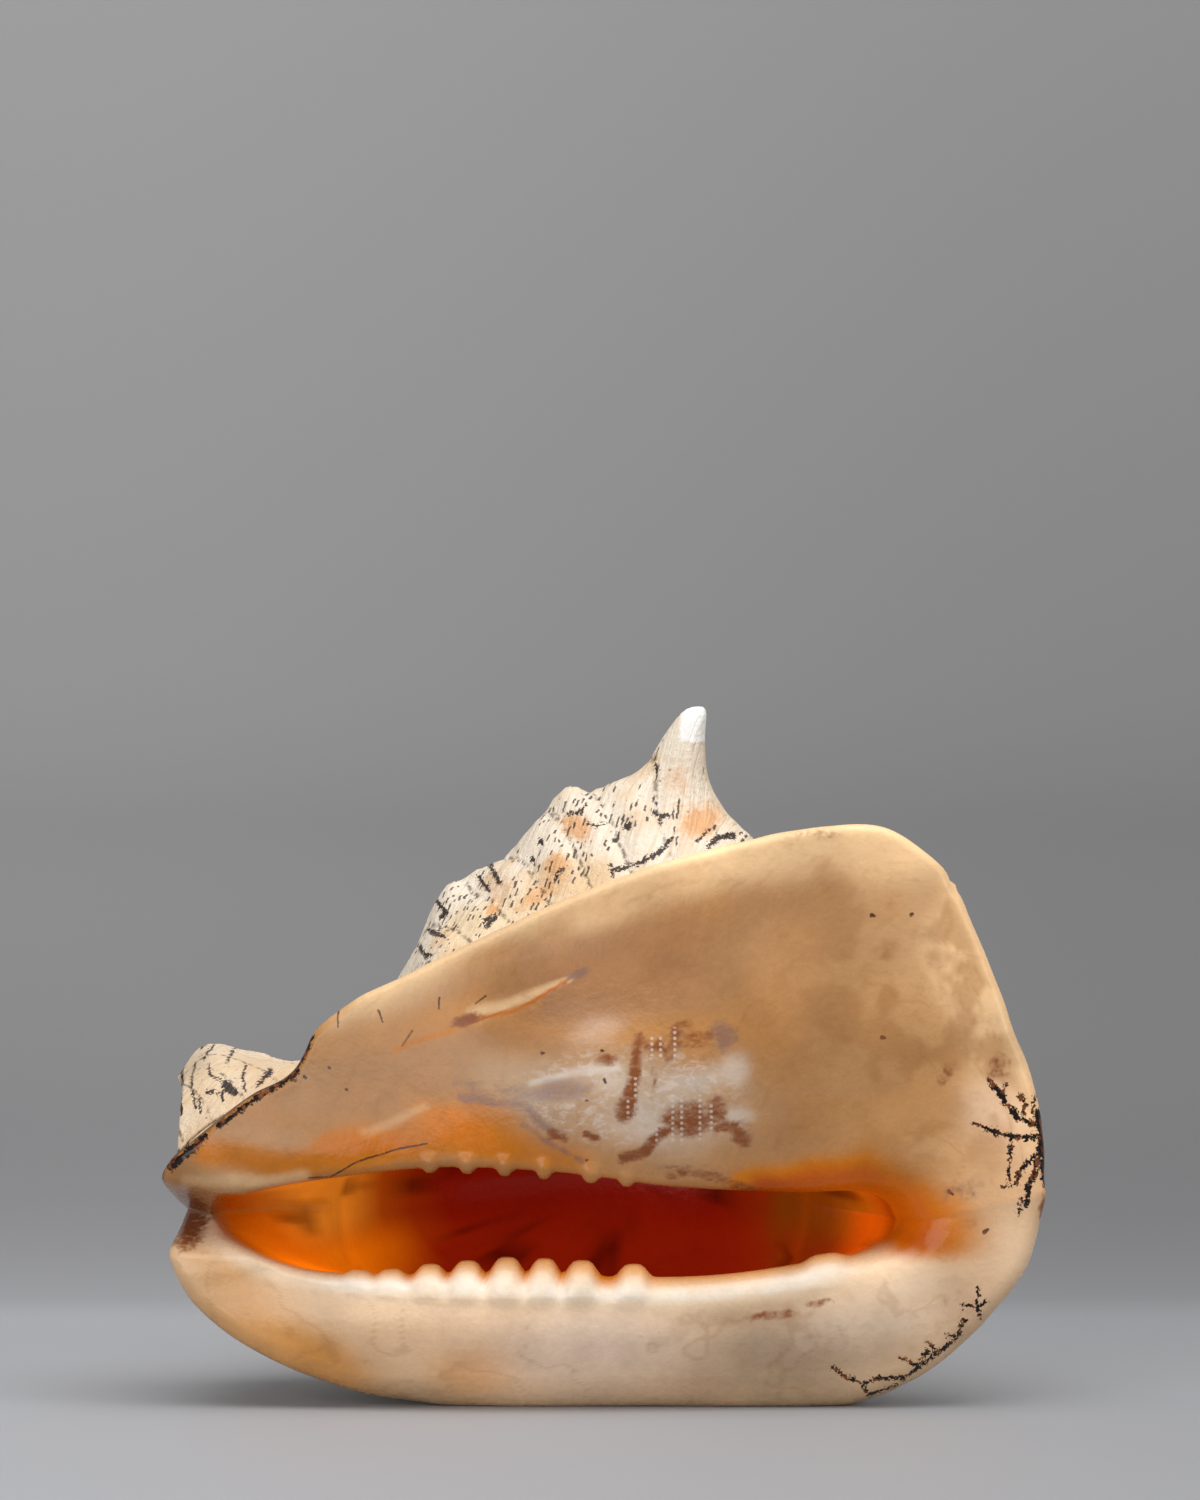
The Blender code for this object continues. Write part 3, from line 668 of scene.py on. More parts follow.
@dataclass
class Spire:
    """The low cone of earlier whorls, wound in by a spiral seam."""

    rings: int = 28
    foot_radius: float = 38.0
    apex: Row = (92.0, AXIS_Y, AXIS_Z)
    growth: float = 1.55
    seam_step: float = 0.11
    nodules: int = 10

    def build(self, foot: Array, foot_coat: Array) -> tuple[Array, Array]:
        """Work out the rings from the foot of the spire to near its apex.

        The radius shrinks evenly, and x steps with the fractional part of log(radius) less the turn, so
        each whorl swells to a shoulder and drops at the seam. Small nodules stand on each shoulder.

        Args:
            foot: The last row of the whorl.
            foot_coat: Its place on the coat.

        Returns:
            The points, ring by column, and the place of each on the coat.
        """
        share = np.linspace(0, 1, self.rings + 1)[1:-1]
        apex = np.array(self.apex)
        points = foot[None] + (apex - foot)[None] * share[:, None, None]
        radius = np.hypot(points[:, :, 1] - AXIS_Y, points[:, :, 2] - AXIS_Z)
        angle = np.arctan2(points[:, :, 2] - AXIS_Z, AXIS_Y - points[:, :, 1])
        turns = np.log(radius / self.foot_radius) / math.log(self.growth) - angle / (2 * math.pi)
        part = turns % 1.0
        step = np.where(part < 0.8, part / 0.8, (1 - part) / 0.2) - 0.5
        bare = ease((apex[0] - foot[:, 0]) / 20.0)[None]
        winding = np.floor(turns) * 2 * math.pi + angle
        knob = np.maximum(np.sin(winding * self.nodules), 0) * np.exp(-(((part - 0.55) / 0.2) ** 2))
        points[:, :, 0] += (self.seam_step * step + 0.10 * knob) * radius * bare
        coat = np.stack([
            np.broadcast_to(foot_coat[:, 0], radius.shape),
            foot_coat[None, :, 1] + self.foot_radius * 1.3 * np.broadcast_to(share[:, None], radius.shape),
            np.full(radius.shape, 1.0),
        ], axis=2)
        return points, coat


@dataclass(frozen=True)
class Spot:
    """A soft spot: its middle, half sizes, strength, turn in degrees, hardness and, on the wash, colour."""

    middle: Row
    half: Row
    strength: float = 1.0
    turn: float = 0.0
    hardness: float = 2.0
    colour: Colour = (0.0, 0.0, 0.0)

    def cover(self, x: Array, z: Array) -> Array:
        """Give strength · exp(-q^hardness), where q is 1 on the spot's outline."""
        c, s = math.cos(math.radians(self.turn)), math.sin(math.radians(self.turn))
        along = (x - self.middle[0]) * c + (z - self.middle[1]) * s
        across = (z - self.middle[1]) * c - (x - self.middle[0]) * s
        q = np.hypot(along / self.half[0], across / self.half[1])
        return self.strength * np.exp(-(q**self.hardness))


@dataclass(frozen=True)
class Smear:
    """A smear along a bent line: its corners as x, z, its half-widths at both ends, its strength."""

    corners: Knots
    widths: Row
    strength: float = 1.0
    colour: Colour = (0.0, 0.0, 0.0)

    def cover(self, x: Array, z: Array) -> Array:
        """Give strength · exp(-(d/w)³), where d is the distance to the nearest piece of the line."""
        count = len(self.corners) - 1
        best = np.zeros_like(x)
        for k, (first, last) in enumerate(zip(self.corners, self.corners[1:])):
            reach = np.subtract(last, first)
            share = ((x - first[0]) * reach[0] + (z - first[1]) * reach[1]) / (reach @ reach)
            share = np.clip(share, 0, 1)
            far = np.hypot(x - first[0] - share * reach[0], z - first[1] - share * reach[1])
            width = self.widths[0] + (self.widths[1] - self.widths[0]) * (k + share) / count
            best = np.maximum(best, np.exp(-((far / width) ** 3)))
        return self.strength * best


Spots = tuple[Spot | Smear, ...]

GROUND = srgb(179, 132, 90)
CREAM = srgb(232, 194, 148)
PALE = srgb(250, 222, 188)
BUFF = srgb(216, 174, 130)
FAWN = srgb(202, 156, 108)
CLAY = srgb(164, 119, 84)
HONEY = srgb(194, 136, 80)
UMBER = srgb(156, 108, 66)
AMBER = srgb(204, 116, 18)
ORANGE = srgb(186, 90, 2)
CHALK = srgb(214, 200, 186)
STONE = srgb(188, 160, 132)
ROSE = srgb(250, 222, 198)
LIP = srgb(240, 202, 162)
APRICOT = srgb(236, 164, 88)
# Near-white of the painted highlight along the ridge of the lip.
HIGHLIGHT_WHITE = srgb(255, 240, 220)
MARIGOLD = srgb(222, 126, 14)
LINEN = srgb(182, 150, 118)
DUSK = srgb(160, 120, 88)
BARK = srgb(92, 66, 46)
IVORY = srgb(236, 221, 200)
COAT_CREAM = srgb(236, 210, 172)
COAT_TAN = srgb(222, 184, 138)
# Dark reds of the painted shade deep in the hollow.
HOLLOW_SHADE_RED = srgb(110, 22, 4)
DEEP_HOLLOW_SHADE = srgb(60, 6, 2)


@dataclass(frozen=True)
class Wash:
    """The soft colours of the glaze, laid over one another in order."""

    ground: Colour = GROUND
    # The share of each colour that the glaze has where the lights fill it up to the colour named above.
    dimmed: float = 0.97
    # The grey that the gloss lays over every colour, taken off beforehand.
    veil: float = 0.022
    tints: Spots = (
        Spot((14, 130), (30, 9), 0.85, 14, 3, CLAY), Spot((-14, 113), (26, 9), 0.9, 14, 3, CLAY),
        Spot((38, 126), (13, 9), 0.8, 10, 2, FAWN), Spot((-34, 128), (9, 5), 0.6, 20, 2, HONEY),
        Spot((84, 108), (34, 46), 0.55, 0, 3, FAWN), Spot((4, 121), (46, 13), 0.8, 8, 3, CLAY),
        Smear(((-6, 139), (26, 150), (62, 157), (84, 152)), (6, 9), 0.7, CREAM),
        Smear(((96, 132), (108, 104), (114, 84)), (9, 9), 0.75, CREAM),
        Smear(((110, 84), (114, 62), (108, 44)), (9, 10), 0.5, ROSE),
        Spot((-104, 68), (14, 9), 0.6, 30, 3, BUFF),
        Smear(((-70, 84), (-40, 88), (-26, 98)), (10, 8), 0.35, HONEY),
        Spot((58, 96), (10, 22), 0.3, 0, 2, CLAY), Spot((86, 134), (20, 16), 0.5, -30, 2, BUFF),
        Spot((106, 62), (18, 18), 0.8, 0, 3, BUFF),
        Smear(((-80, 103), (-52, 106), (-36, 113)), (6.5, 5), 0.6, HONEY),
        Smear(((-34, 109), (-10, 107), (24, 108), (36, 106)), (3.4, 4), 0.4, HONEY),
        Spot((47, 106), (10, 14), 0.35, 0, 2, HONEY),
        Smear(((-112, 72), (-88, 69), (-62, 72), (-36, 77), (-10, 72)), (4.5, 6.5), 0.8, AMBER),
        Spot((-66, 75), (13, 5), 0.8, 8, 3, AMBER), Spot((-39, 79), (14, 6.5), 1, -14, 3, MARIGOLD),
        Spot((-30, 84), (9, 3), 0.8, -20, 3, AMBER), Spot((-80, 64), (14, 3), 0.4, 8, 3, DUSK),
        Smear(((-56, 66), (-20, 66), (20, 64)), (4, 3), 0.5, DUSK),
        Spot((8, 87), (35, 16), 0.9, -4, 4, LINEN), Spot((10, 86), (28, 11), 0.35, -4, 3, CHALK),
        Spot((-22, 93), (17, 6), 0.7, -10, 3, LINEN), Spot((0.5, 93.5), (5, 4.4), 0.4, 0, 3, CHALK),
        Spot((26, 93.6), (8.5, 3), 0.5, 0, 3, CHALK), Spot((37, 95.5), (4.6, 3.8), 0.6, 0, 3, CHALK),
        Spot((37.6, 82.9), (4.2, 2.6), 0.75, 0, 3, CHALK), Spot((7.5, 80), (9, 5.4), 0.6, 0, 3, CHALK),
        Spot((-2.7, 107), (8, 3), 0.45, 8, 3, CHALK), Spot((26, 101), (5, 4), 0.5, 0, 3, HONEY),
        Spot((12, 106), (26, 2.6), 0.55, -2, 3, HONEY), Spot((33, 89.5), (6, 3), 0.3, 0, 3, HONEY),
        Smear(((-20, 92), (-10, 96), (2, 97)), (0.9, 1.4), 0.7, CHALK),
        Smear(((-52, 108), (-30, 112), (-22, 115)), (3.4, 3), 0.6, HONEY),
        Smear(((-36, 110.6), (-22, 116), (-9, 120.4)), (2.4, 0.7), 0.8, CREAM),
        Smear(((-67, 77), (-57, 81), (-49, 84.5)), (1.6, 1.2), 0.35, CREAM),
        Smear(((-78, 74), (-62, 75), (-52, 72)), (2.6, 2), 0.6, AMBER),
        Smear(((-40, 107.5), (-27.5, 112), (-10.5, 119.6)), (0.7, 0.4), 0.9, ORANGE),
        Smear(((-58, 101), (-43, 105.6)), (0.8, 0.8), 0.6, AMBER),
        Smear(((-118, 63), (-96, 64), (-84, 66)), (2, 2.5), 0.6, CREAM),
        Spot((-121, 51), (7, 8), 0.95, 0, 4, BARK),
    )
    lip_tints: Spots = (
        Spot((-96, 14), (34, 14), 0.8, -25, 3, APRICOT), Spot((-82, 13), (18, 8), 1, -24, 3, APRICOT),
        Spot((-36, 11), (13, 9), 0.7, 0, 3, APRICOT), Spot((-3, 18), (32, 14), 0.9, 0, 2, ROSE),
        Spot((30, 8), (16, 6), 0.35, 0, 2, DUSK), Spot((48, 17), (24, 12), 0.8, 6, 3, STONE),
        Spot((80, 18), (28, 13), 0.75, 20, 3, STONE), Spot((40, 27), (14, 4), 0.4, 0, 3, DUSK),
        Spot((87, 38), (12, 5), 0.5, 10, 3, PALE), Spot((74, 26), (34, 10), 0.35, 10, 3, CHALK),
        Spot((103, 34), (16, 12), 0.4, 40, 3, DUSK), Spot((112, 48), (13, 16), 0.3, 20, 3, PALE),
        Spot((-104, 36), (14, 8), 0.5, -30, 2, APRICOT),
    )

    def paint(self, points: Array, traits: Array) -> Array:
        """Mix the colour of every point of the front and the hollow.

        Args:
            points: The points.
            traits: Distance in from the free edge, distance out from the rim, signed station.

        Returns:
            Red, green and blue in linear light for each point.
        """
        x, z = points[..., 0], points[..., 2]
        drift = 5.0 * np.stack([grain(points, 16.0, 2, seed) - 0.5 for seed in (3.1, 8.7)])
        near_x, near_z = x + drift[0], z + drift[1]
        colour = np.broadcast_to(np.array(self.ground), (*x.shape, 3)).copy()
        lay = partial(lay_over, colour)
        inside, out, signed = traits[..., 0], traits[..., 1], traits[..., 2]
        lip, shield = signed < 0, (signed > 0) & (x > -80)
        lay(0.8 * np.exp(-((inside / 8.0) ** 2)) * (signed > 0) * ease((x + 90) / 30), CREAM)
        for tint in self.tints:
            lay(tint.cover(near_x, near_z), tint.colour)
        lower = np.where(x > 80, ease((62 - z) / 22), lip) * ease((out - 2) / 5.0)
        lay(lower, LIP)
        for tint in self.lip_tints:
            lay(tint.cover(near_x, near_z) * lower, tint.colour)
        patchy = ease((grain(points, 12.0, 4, 2.7) - 0.49) / 0.13)
        worn = Spot((94, 112), (40, 54), 0.5, 0, 3).cover(x, z) * (signed > 0)
        lay(patchy * worn, UMBER)
        lay(0.4 * patchy * Spot((62, 20), (62, 16), 1.0, 6, 4).cover(x, z) * lower, STONE)
        lay(0.25 * ease((grain(points, 20.0, 3, 9.9) - 0.5) / 0.2) * (signed > 0), HONEY)
        veins = ease((0.022 - np.abs(grain(points, 17.0, 3, 8.8) - 0.5)) / 0.02)
        lay(0.22 * veins * ease(out / 12.0), UMBER)
        # A thin cream line along the upper free edge of the shield: partly the callus's own pale edge, partly
        # painted highlight where the rounded edge catches the top light.
        uneven = 0.6 + 0.8 * grain(points, 26.0, 2, 5.5)
        rim = np.exp(-((inside / (3.2 * uneven)) ** 2)) * ease((x + 84) / 14)
        lay(rim * (signed > 0) * ease((z - 58) / 14), CREAM)
        lay(0.5 * np.exp(-((inside / 2.0) ** 2)) * (signed > 0) * (x < -70), HONEY)
        lay(0.35 * np.exp(-((inside / 7.0) ** 2)) * lip * ease((110 - x) / 20), CREAM)
        # A pale band along the rolled ridge of the lip: partly its own paler glaze, partly painted highlight
        # where the top light falls on the ridge.
        lay(0.85 * np.exp(-(((out - 4.5) / 4.5) ** 2)) * lip * ease((90 - x) / 30.0), PALE)
        lay(0.5 * np.exp(-((np.clip(out, 0, 99) / 3.0) ** 2)) * shield, HONEY)
        hills = np.max([np.exp(-(np.abs((x - at) / width) ** 4)) for at, _, width in LIP_TEETH], axis=0)
        inner = lip * np.exp(-(((out - 0.5) / 2.8) ** 2)) * ease((84 - np.abs(x)) / 20)
        lay(0.75 * inner, APRICOT)
        # In the valleys between the lip's teeth: partly the glaze's own orange, partly painted shade between
        # the teeth.
        lay(0.9 * inner * (1 - hills) * ease((40 - np.abs(x + 26)) / 16), MARIGOLD)
        # Painted highlight: a near-white streak along the rolled ridge of the lip, where the top light
        # glints.
        painted_ridge_highlight = np.exp(-(((out - 5.0) / 1.6) ** 2)) * ease((82 - np.abs(x + 8)) / 16) * lip
        lay(np.clip(painted_ridge_highlight * (0.3 + 1.1 * grain(points, 9.0, 2, 6.6)), 0, 1), HIGHLIGHT_WHITE)
        spread = Smear(((36, 63), (58, 66), (74, 65), (88, 58), (95, 50)), (3.0, 12.0), 0.85)
        lay(spread.cover(near_x, near_z) * ease((z - 38) / 8), AMBER)
        funnel = Smear(((42, 62), (58, 63.5), (74, 61), (84, 54), (88, 49)), (3.0, 11.0))
        lay(funnel.cover(near_x, near_z) * ease((z - 40) / 5), ORANGE)
        lay(ease(-out / 9.0) * ease((x + 112) / 18), ORANGE)
        lay(ease(-out / 5.0) * ease((-58 - x) / 18), MARIGOLD)
        # Painted shade: deeper into the hollow the glaze turns dark red and then nearly black, where shade
        # falls.
        lay(ease((-out - 5) / 16.0), HOLLOW_SHADE_RED)
        lay(ease((-out - 14) / 26.0), DEEP_HOLLOW_SHADE)
        soft = 1 + 0.6 * (grain(points, 26.0, 4, 1.0) - 0.5) + 0.14 * (grain(points, 7.0, 3, 4.0) - 0.5)
        # Painted light: the shield is lightened towards the spire end and towards the top, where the lamps
        # fall short, and darkened a little about (-14, 113).
        painted_lighting = 1 + 0.26 * np.maximum(ease((x - 72) / 36), ease((z - 140) / 16)) * (signed > 0)
        painted_lighting -= 0.15 * bump(x, z, (-14.0, 113.0), (26.0, 11.0))
        return np.maximum(colour * (self.dimmed * soft * painted_lighting)[..., None] - self.veil, 0.002)

    def coat_paint(self, points: Array) -> Array:
        """Mix the colour of the whorl: ivory, with cream and tan patches.

        Args:
            points: The points.

        Returns:
            Red, green, blue and how crowded the dashes are for each point.
        """
        colour = np.broadcast_to(np.array(IVORY), (*points.shape[:-1], 3)).copy()
        lay = partial(lay_over, colour)
        lay(ease((grain(points, 28.0, 3, 3.3) - 0.42) / 0.25), COAT_CREAM)
        lay(0.6 * ease((grain(points, 15.0, 3, 6.1) - 0.58) / 0.14), COAT_TAN)
        # Tan towards the snout: partly its own tan, partly painted shade on the snout.
        lay(0.4 * ease((-78 - points[..., 0]) / 14), COAT_TAN)
        crowd = 0.05 + 0.5 * ease((grain(points, 16.0, 2, 9.4) - 0.42) / 0.3)
        return np.concatenate([colour, crowd[..., None]], axis=-1)

    def glow(self, points: Array, traits: Array) -> Array:
        """Mix the light that comes through the wall into the hollow.

        It is deep red in the middle, turns orange to both ends and over the ridge of the lip, and is
        olive behind the fold near the spire end.

        Args:
            points: The points.
            traits: Distance in from the free edge, distance out from the rim, signed station.

        Returns:
            Red, green and blue in linear light for each point.
        """
        x, z = points[..., 0], points[..., 2]
        out, lip = traits[..., 1], traits[..., 2] < 0
        light = np.broadcast_to(np.array(srgb(108, 11, 1)), (*x.shape, 3)).copy()
        lay = partial(lay_over, light)
        lay(ease((-52 - x) / 12.0), srgb(134, 46, 3))
        lay(ease((-64 - x) / 12.0), srgb(192, 104, 24))
        lay(ease((x - 34) / 16.0), srgb(116, 30, 2))
        lay(ease((x - 47) / 3.0), srgb(108, 46, 2))
        lay(ease((x - 62) / 12.0), srgb(132, 70, 4))
        lay(ease((22 + out) / 12.0) * lip, srgb(176, 66, 1))
        lay(ease((-40 - x) / 12.0) * ease((28 + out) / 10.0) * lip, srgb(216, 100, 1))
        lay(0.4 * ease((14 + out) / 12.0) * ~lip, srgb(150, 40, 2))
        lay(0.5 * ease((50 - z) / 10.0), srgb(128, 24, 2))
        lay(0.8 * ease((50 - z) / 12.0) * ease((-48 - x) / 24.0), srgb(216, 100, 1))
        fade = ease((-out + 0.5) / 9.0) * ease((x + 110) / 26)
        light *= (fade * (0.8 + 0.4 * grain(points, 14.0, 3, 7.0)))[..., None]
        # Painted light given off by the glaze: noise dims the glow in patches, and a warm spot of it is added
        # near the spire end.
        glow_dimming = ease((grain(points, 12.0, 3, 2.2) - 0.6) / 0.14)
        light *= (1 - 0.6 * glow_dimming)[..., None]
        warmth = Spot((80, 57), (24, 8.0), 0.35, -14, 4).cover(x, z) * ease((out + 1) / 3)
        return light + warmth[..., None] * np.array(srgb(170, 90, 8))


def lay_over(colour: Array, cover: Array, tint: Colour) -> None:
    """Lay one colour over what is there, as far as it covers."""
    colour[:] = colour + (np.array(tint) - colour) * cover[..., None]


@dataclass(frozen=True)
class Marks:
    """Named patches of stain, in millimetres on the front."""

    brown: Spots = (
        Smear(((9.4, 105), (8.4, 98), (8, 92), (6.2, 86.2), (5.5, 84)), (1.1, 3), 0.95),
        Smear(((9.4, 105), (13.3, 101.4), (14.8, 103.4), (17.7, 99)), (1.3, 1.3), 0.75),
        Smear(((17.7, 99), (19.8, 107.8), (23.3, 108.4)), (1.5, 1.7), 0.6),
        Spot((23.4, 81.8), (8.6, 5.4), 0.8, 8, 4), Spot((31, 84), (3.4, 5), 0.75, 0, 4),
        Smear(((18.4, 80), (14, 77), (11.2, 72.8), (5, 71.2)), (1.7, 1.9), 0.95),
        Smear(((31, 79.5), (36, 79.4), (38.2, 75.7)), (1.2, 2.8), 0.85),
        Smear(((-15, 78), (-11, 76.6)), (1.5, 1.2), 0.9),
        Smear(((-5.6, 78.2), (-2.4, 76.8)), (1, 1.1), 0.9),
        Smear(((18.3, 66.8), (27, 66.5), (35.6, 63.5), (42.6, 61.5)), (2, 1.2), 0.6),
        Spot((-38.8, 109.3), (4.8, 1.7), 1, 16, 3), Spot((0.4, 98.8), (3.4, 2), 0.8, 0, 3),
        Spot((26, 104), (7, 2.4), 0.55, 10, 3), Smear(((13.5, 96), (14, 91)), (0.9, 0.9), 0.5),
        Spot((-119, 52), (7, 8), 1, 0, 4), Spot((124, 55), (1.8, 4.4), 1, 0, 3),
        Spot((60, 161), (10, 2), 0.35, 4, 3), Spot((96, 94), (4, 2.2), 0.45, 60, 3),
        Spot((111, 96), (4, 3.4), 0.5, 60, 3), Spot((47, 27), (9, 1.6), 0.5, 6, 3),
        Spot((60, 30), (6, 1.2), 0.45, 10, 3), Spot((103, 52), (6, 2.6), 0.3, 0, 3),
        Spot((-101, 100.5), (4.4, 1.6), 0.9, -8, 3), Spot((-92, 99.5), (3.6, 1.3), 0.8, -8, 3),
    )
    violet: Spots = (
        Spot((33, 105), (4.3, 4.2), 0.95, 0, 3), Spot((-13, 90), (9.6, 3.4), 0.8, 4, 3),
        Spot((-25, 90), (9, 3), 0.5, -6, 3),
        Smear(((-40, 88), (-22, 85.6), (-17.4, 80.6), (-11.8, 77.6)), (1.6, 1.2), 0.75),
        Smear(((-23, 80.6), (-14.6, 75), (-6.4, 70.2)), (1, 0.9), 0.6),
        Spot((38.4, 77), (3.4, 4.4), 0.7, 0, 3), Spot((-7.4, 122), (3.6, 1.4), 0.9, 20, 3),
        Spot((-37, 91), (8, 2.6), 0.45, -12, 3), Spot((5.6, 85), (3.4, 3.6), 0.7, 0, 3),
        Spot((19.5, 105), (5, 3.6), 0.4, 0, 3), Spot((100, 61), (9, 3.6), 0.4, 10, 3),
        Spot((24, 67), (14, 2.2), 0.4, -6, 3),
    )
    clouds: Spots = (
        Spot((94, 116), (20, 34), 0.75, 14, 3), Spot((74, 146), (24, 10), 0.7, 0, 3),
        Spot((8, 128), (16, 8), 0.5, 10, 3), Spot((104, 88), (12, 22), 0.6, 0, 3),
        Spot((56, 20), (26, 12), 0.8, 6, 3), Spot((96, 26), (18, 12), 0.9, 40, 3),
        Spot((-76, 20), (18, 8), 0.3, -20, 3), Spot((-112, 28), (6, 12), 0.6, 20, 3),
    )
    # Patches of orange tan on the whorl above the shield.
    tan: Spots = (
        Spot((-8.2, 163), (5, 3.4), 1, -20, 3), Spot((-14, 152.2), (3.6, 3.4), 0.9, 0, 3),
        Spot((-19, 143.6), (8, 3), 0.6, 30, 3), Spot((-32, 139.6), (1.8, 1.8), 1, 0, 3),
        Spot((27.5, 164.5), (7, 4.5), 0.8, 30, 3), Spot((-30, 146), (5, 4), 0.45, 0, 3),
        Spot((20.5, 176), (5, 6), 0.4, 0, 3),
    )
    scuffed: Spots = (
        Spot((88, 128), (26, 34), 0.8, 0, 3), Spot((60, 20), (30, 10), 0.8, 0, 3),
    )

    def cover(self, x: Array, z: Array, front: Array, behind: bool = False) -> Array:
        """Give how far each kind of stain covers each point, as four channels.

        Args:
            x: Where along the shell.
            z: Height above the floor.
            front: 1 where a stain may lie and 0 elsewhere.
            behind: Whether the points are on the whorl, which has tan in the place of violet.

        Returns:
            Brown, violet or tan, clouds and scuffs.
        """
        kinds = (self.brown, self.violet, self.clouds, self.scuffed, self.tan)
        layers = [np.max([mark.cover(x, z) for mark in kind], axis=0) * front for kind in kinds]
        layers[1] = np.where(behind, layers[4], layers[1])
        return np.stack(layers[:4], axis=-1)


class Wiring:
    """Short calls that add nodes to one shader tree and link them."""

    def __init__(self, tree: Tree) -> None:
        """Keep the tree."""
        self.tree = tree

    def node(self, kind: str, **settings: Any) -> bpy.types.Node:
        """Add a node and set its properties."""
        made = self.tree.nodes.new(kind)
        for name, value in settings.items():
            setattr(made, name, value)
        return made

    def plug(self, target: Wire, value: Any) -> None:
        """Link a socket to the target, or set a plain value on it."""
        if isinstance(value, Wire):
            self.tree.links.new(value, target)
            return
        if hasattr(target.default_value, "__len__") and not hasattr(value, "__len__"):
            value = (value,) * len(target.default_value)
        if hasattr(value, "__len__") and len(target.default_value) == 4 and len(value) == 3:
            value = (*value, 1.0)
        target.default_value = value

    def math(self, operation: str, *values: Any, clamp: bool = False) -> Wire:
        """Work out a number from one to three numbers."""
        made = self.node("ShaderNodeMath", operation=operation, use_clamp=clamp)
        for target, value in zip(made.inputs, values):
            self.plug(target, value)
        return made.outputs[0]

    def times(self, first: Any, second: Any) -> Wire:
        """Multiply two numbers."""
        return self.math("MULTIPLY", first, second)

    def scaled(self, value: Any, by: Any, add: Any) -> Wire:
        """Multiply a number by the second and add the third."""
        return self.math("MULTIPLY_ADD", value, by, add)

    def less(self, first: Any, second: Any) -> Wire:
        """Take the second number from the first."""
        return self.math("SUBTRACT", first, second)

    def apart(self, first: Any, second: Any) -> Wire:
        """Give the distance between two numbers."""
        return self.math("ABSOLUTE", self.less(first, second))

    def vector(self, operation: str, *values: Any) -> Wire:
        """Work out a vector, or for a length or dot product a number."""
        made = self.node("ShaderNodeVectorMath", operation=operation)
        if operation == "SCALE":
            self.plug(made.inputs[0], values[0])
            self.plug(made.inputs["Scale"], values[1])
        else:
            for target, value in zip(made.inputs, values):
                self.plug(target, value)
        return made.outputs["Value" if operation in ("LENGTH", "DOT_PRODUCT", "DISTANCE") else "Vector"]

    def step(self, value: Any, low: Any, high: Any, first: Any = 0.0, last: Any = 1.0) -> Wire:
        """Go smoothly from first to last while the value goes from low to high."""
        made = self.node("ShaderNodeMapRange", interpolation_type="SMOOTHSTEP")
        for target, given in zip(made.inputs, (value, low, high, first, last)):
            self.plug(target, given)
        return made.outputs[0]

    def mix(self, share: Any, first: Any, second: Any, blend: str = "MIX") -> Wire:
        """Mix two colours."""
        made = self.node("ShaderNodeMix", data_type="RGBA", blend_type=blend)
        self.plug(made.inputs[0], share)
        self.plug(made.inputs[6], first)
        self.plug(made.inputs[7], second)
        return made.outputs[2]

    def noise(
        self, at: Any, scale: float, detail: float, rough: float, twist: float = 0.0, kind: str = "Fac"
    ) -> Wire:
        """Read a noise at the given place, as a number or, for the kind Color, as three."""
        made = self.node("ShaderNodeTexNoise")
        self.feed(made, Vector=at, Scale=scale, Detail=detail, Roughness=rough, Distortion=twist)
        return made.outputs[kind]

    def attribute(self, name: str) -> bpy.types.Node:
        """Read a named attribute of the mesh."""
        return self.node("ShaderNodeAttribute", attribute_name=name)

    def split(self, value: Any, colour: bool = False) -> list[Wire]:
        """Take a vector or a colour apart."""
        made = self.node("ShaderNodeSeparateColor" if colour else "ShaderNodeSeparateXYZ")
        self.plug(made.inputs[0], value)
        return list(made.outputs)

    def join(self, x: Any, y: Any, z: Any) -> Wire:
        """Put a vector together."""
        made = self.node("ShaderNodeCombineXYZ")
        for target, value in zip(made.inputs, (x, y, z)):
            self.plug(target, value)
        return made.outputs[0]

    def place(self) -> Wire:
        """Give the point on the piece in millimetres."""
        return self.vector("SCALE", self.node("ShaderNodeTexCoord").outputs["Object"], 1 / MM)

    def feed(self, node: bpy.types.Node, **values: Any) -> bpy.types.Node:
        """Give a node's inputs, written with _ for a space."""
        for name, value in values.items():
            self.plug(node.inputs[name.replace("_", " ")], value)
        return node

    def group(self, tree: Tree, **values: Any) -> bpy.types.Node:
        """Add a node group and give its inputs."""
        return self.feed(self.node("ShaderNodeGroup", node_tree=tree), **values)


def new_material(name: str) -> tuple[bpy.types.Material, Wiring, bpy.types.Node]:
    """Start a material.

    Args:
        name: The material's name.

    Returns:
        The material, its wiring and its Principled shader.
    """
    material = bpy.data.materials.new(name)
    material.use_nodes = True
    return material, Wiring(material.node_tree), material.node_tree.nodes["Principled BSDF"]


def new_object(name: str, data: Any) -> bpy.types.Object:
    """Put an object with this mesh, light or camera into the scene."""
    made = bpy.data.objects.new(name, data)
    bpy.context.scene.collection.objects.link(made)
    return made


class Socket(Enum):
    """The kinds of socket that the node groups have."""

    NUMBER = "NodeSocketFloat"
    VECTOR = "NodeSocketVector"


def new_group(
    name: str, inputs: dict[str, Socket], outputs: dict[str, Socket]
) -> tuple[Wiring, dict[str, Wire], bpy.types.Node]:
    """Start a node group.

    Args:
        name: The group's name.
        inputs: Its inputs and their kinds.
        outputs: Its outputs and their kinds.

    Returns:
        The wiring of its tree, its inputs by name, and the node to plug its outputs into.
    """
    tree = bpy.data.node_groups.new(name, "ShaderNodeTree")
    for label, kind in inputs.items():
        tree.interface.new_socket(name=label, in_out="INPUT", socket_type=kind.value)
    for label, kind in outputs.items():
        tree.interface.new_socket(name=label, in_out="OUTPUT", socket_type=kind.value)
    wiring = Wiring(tree)
    source = wiring.node("NodeGroupInput")
    sink = wiring.node("NodeGroupOutput")
    return wiring, {label: source.outputs[label] for label in inputs}, sink


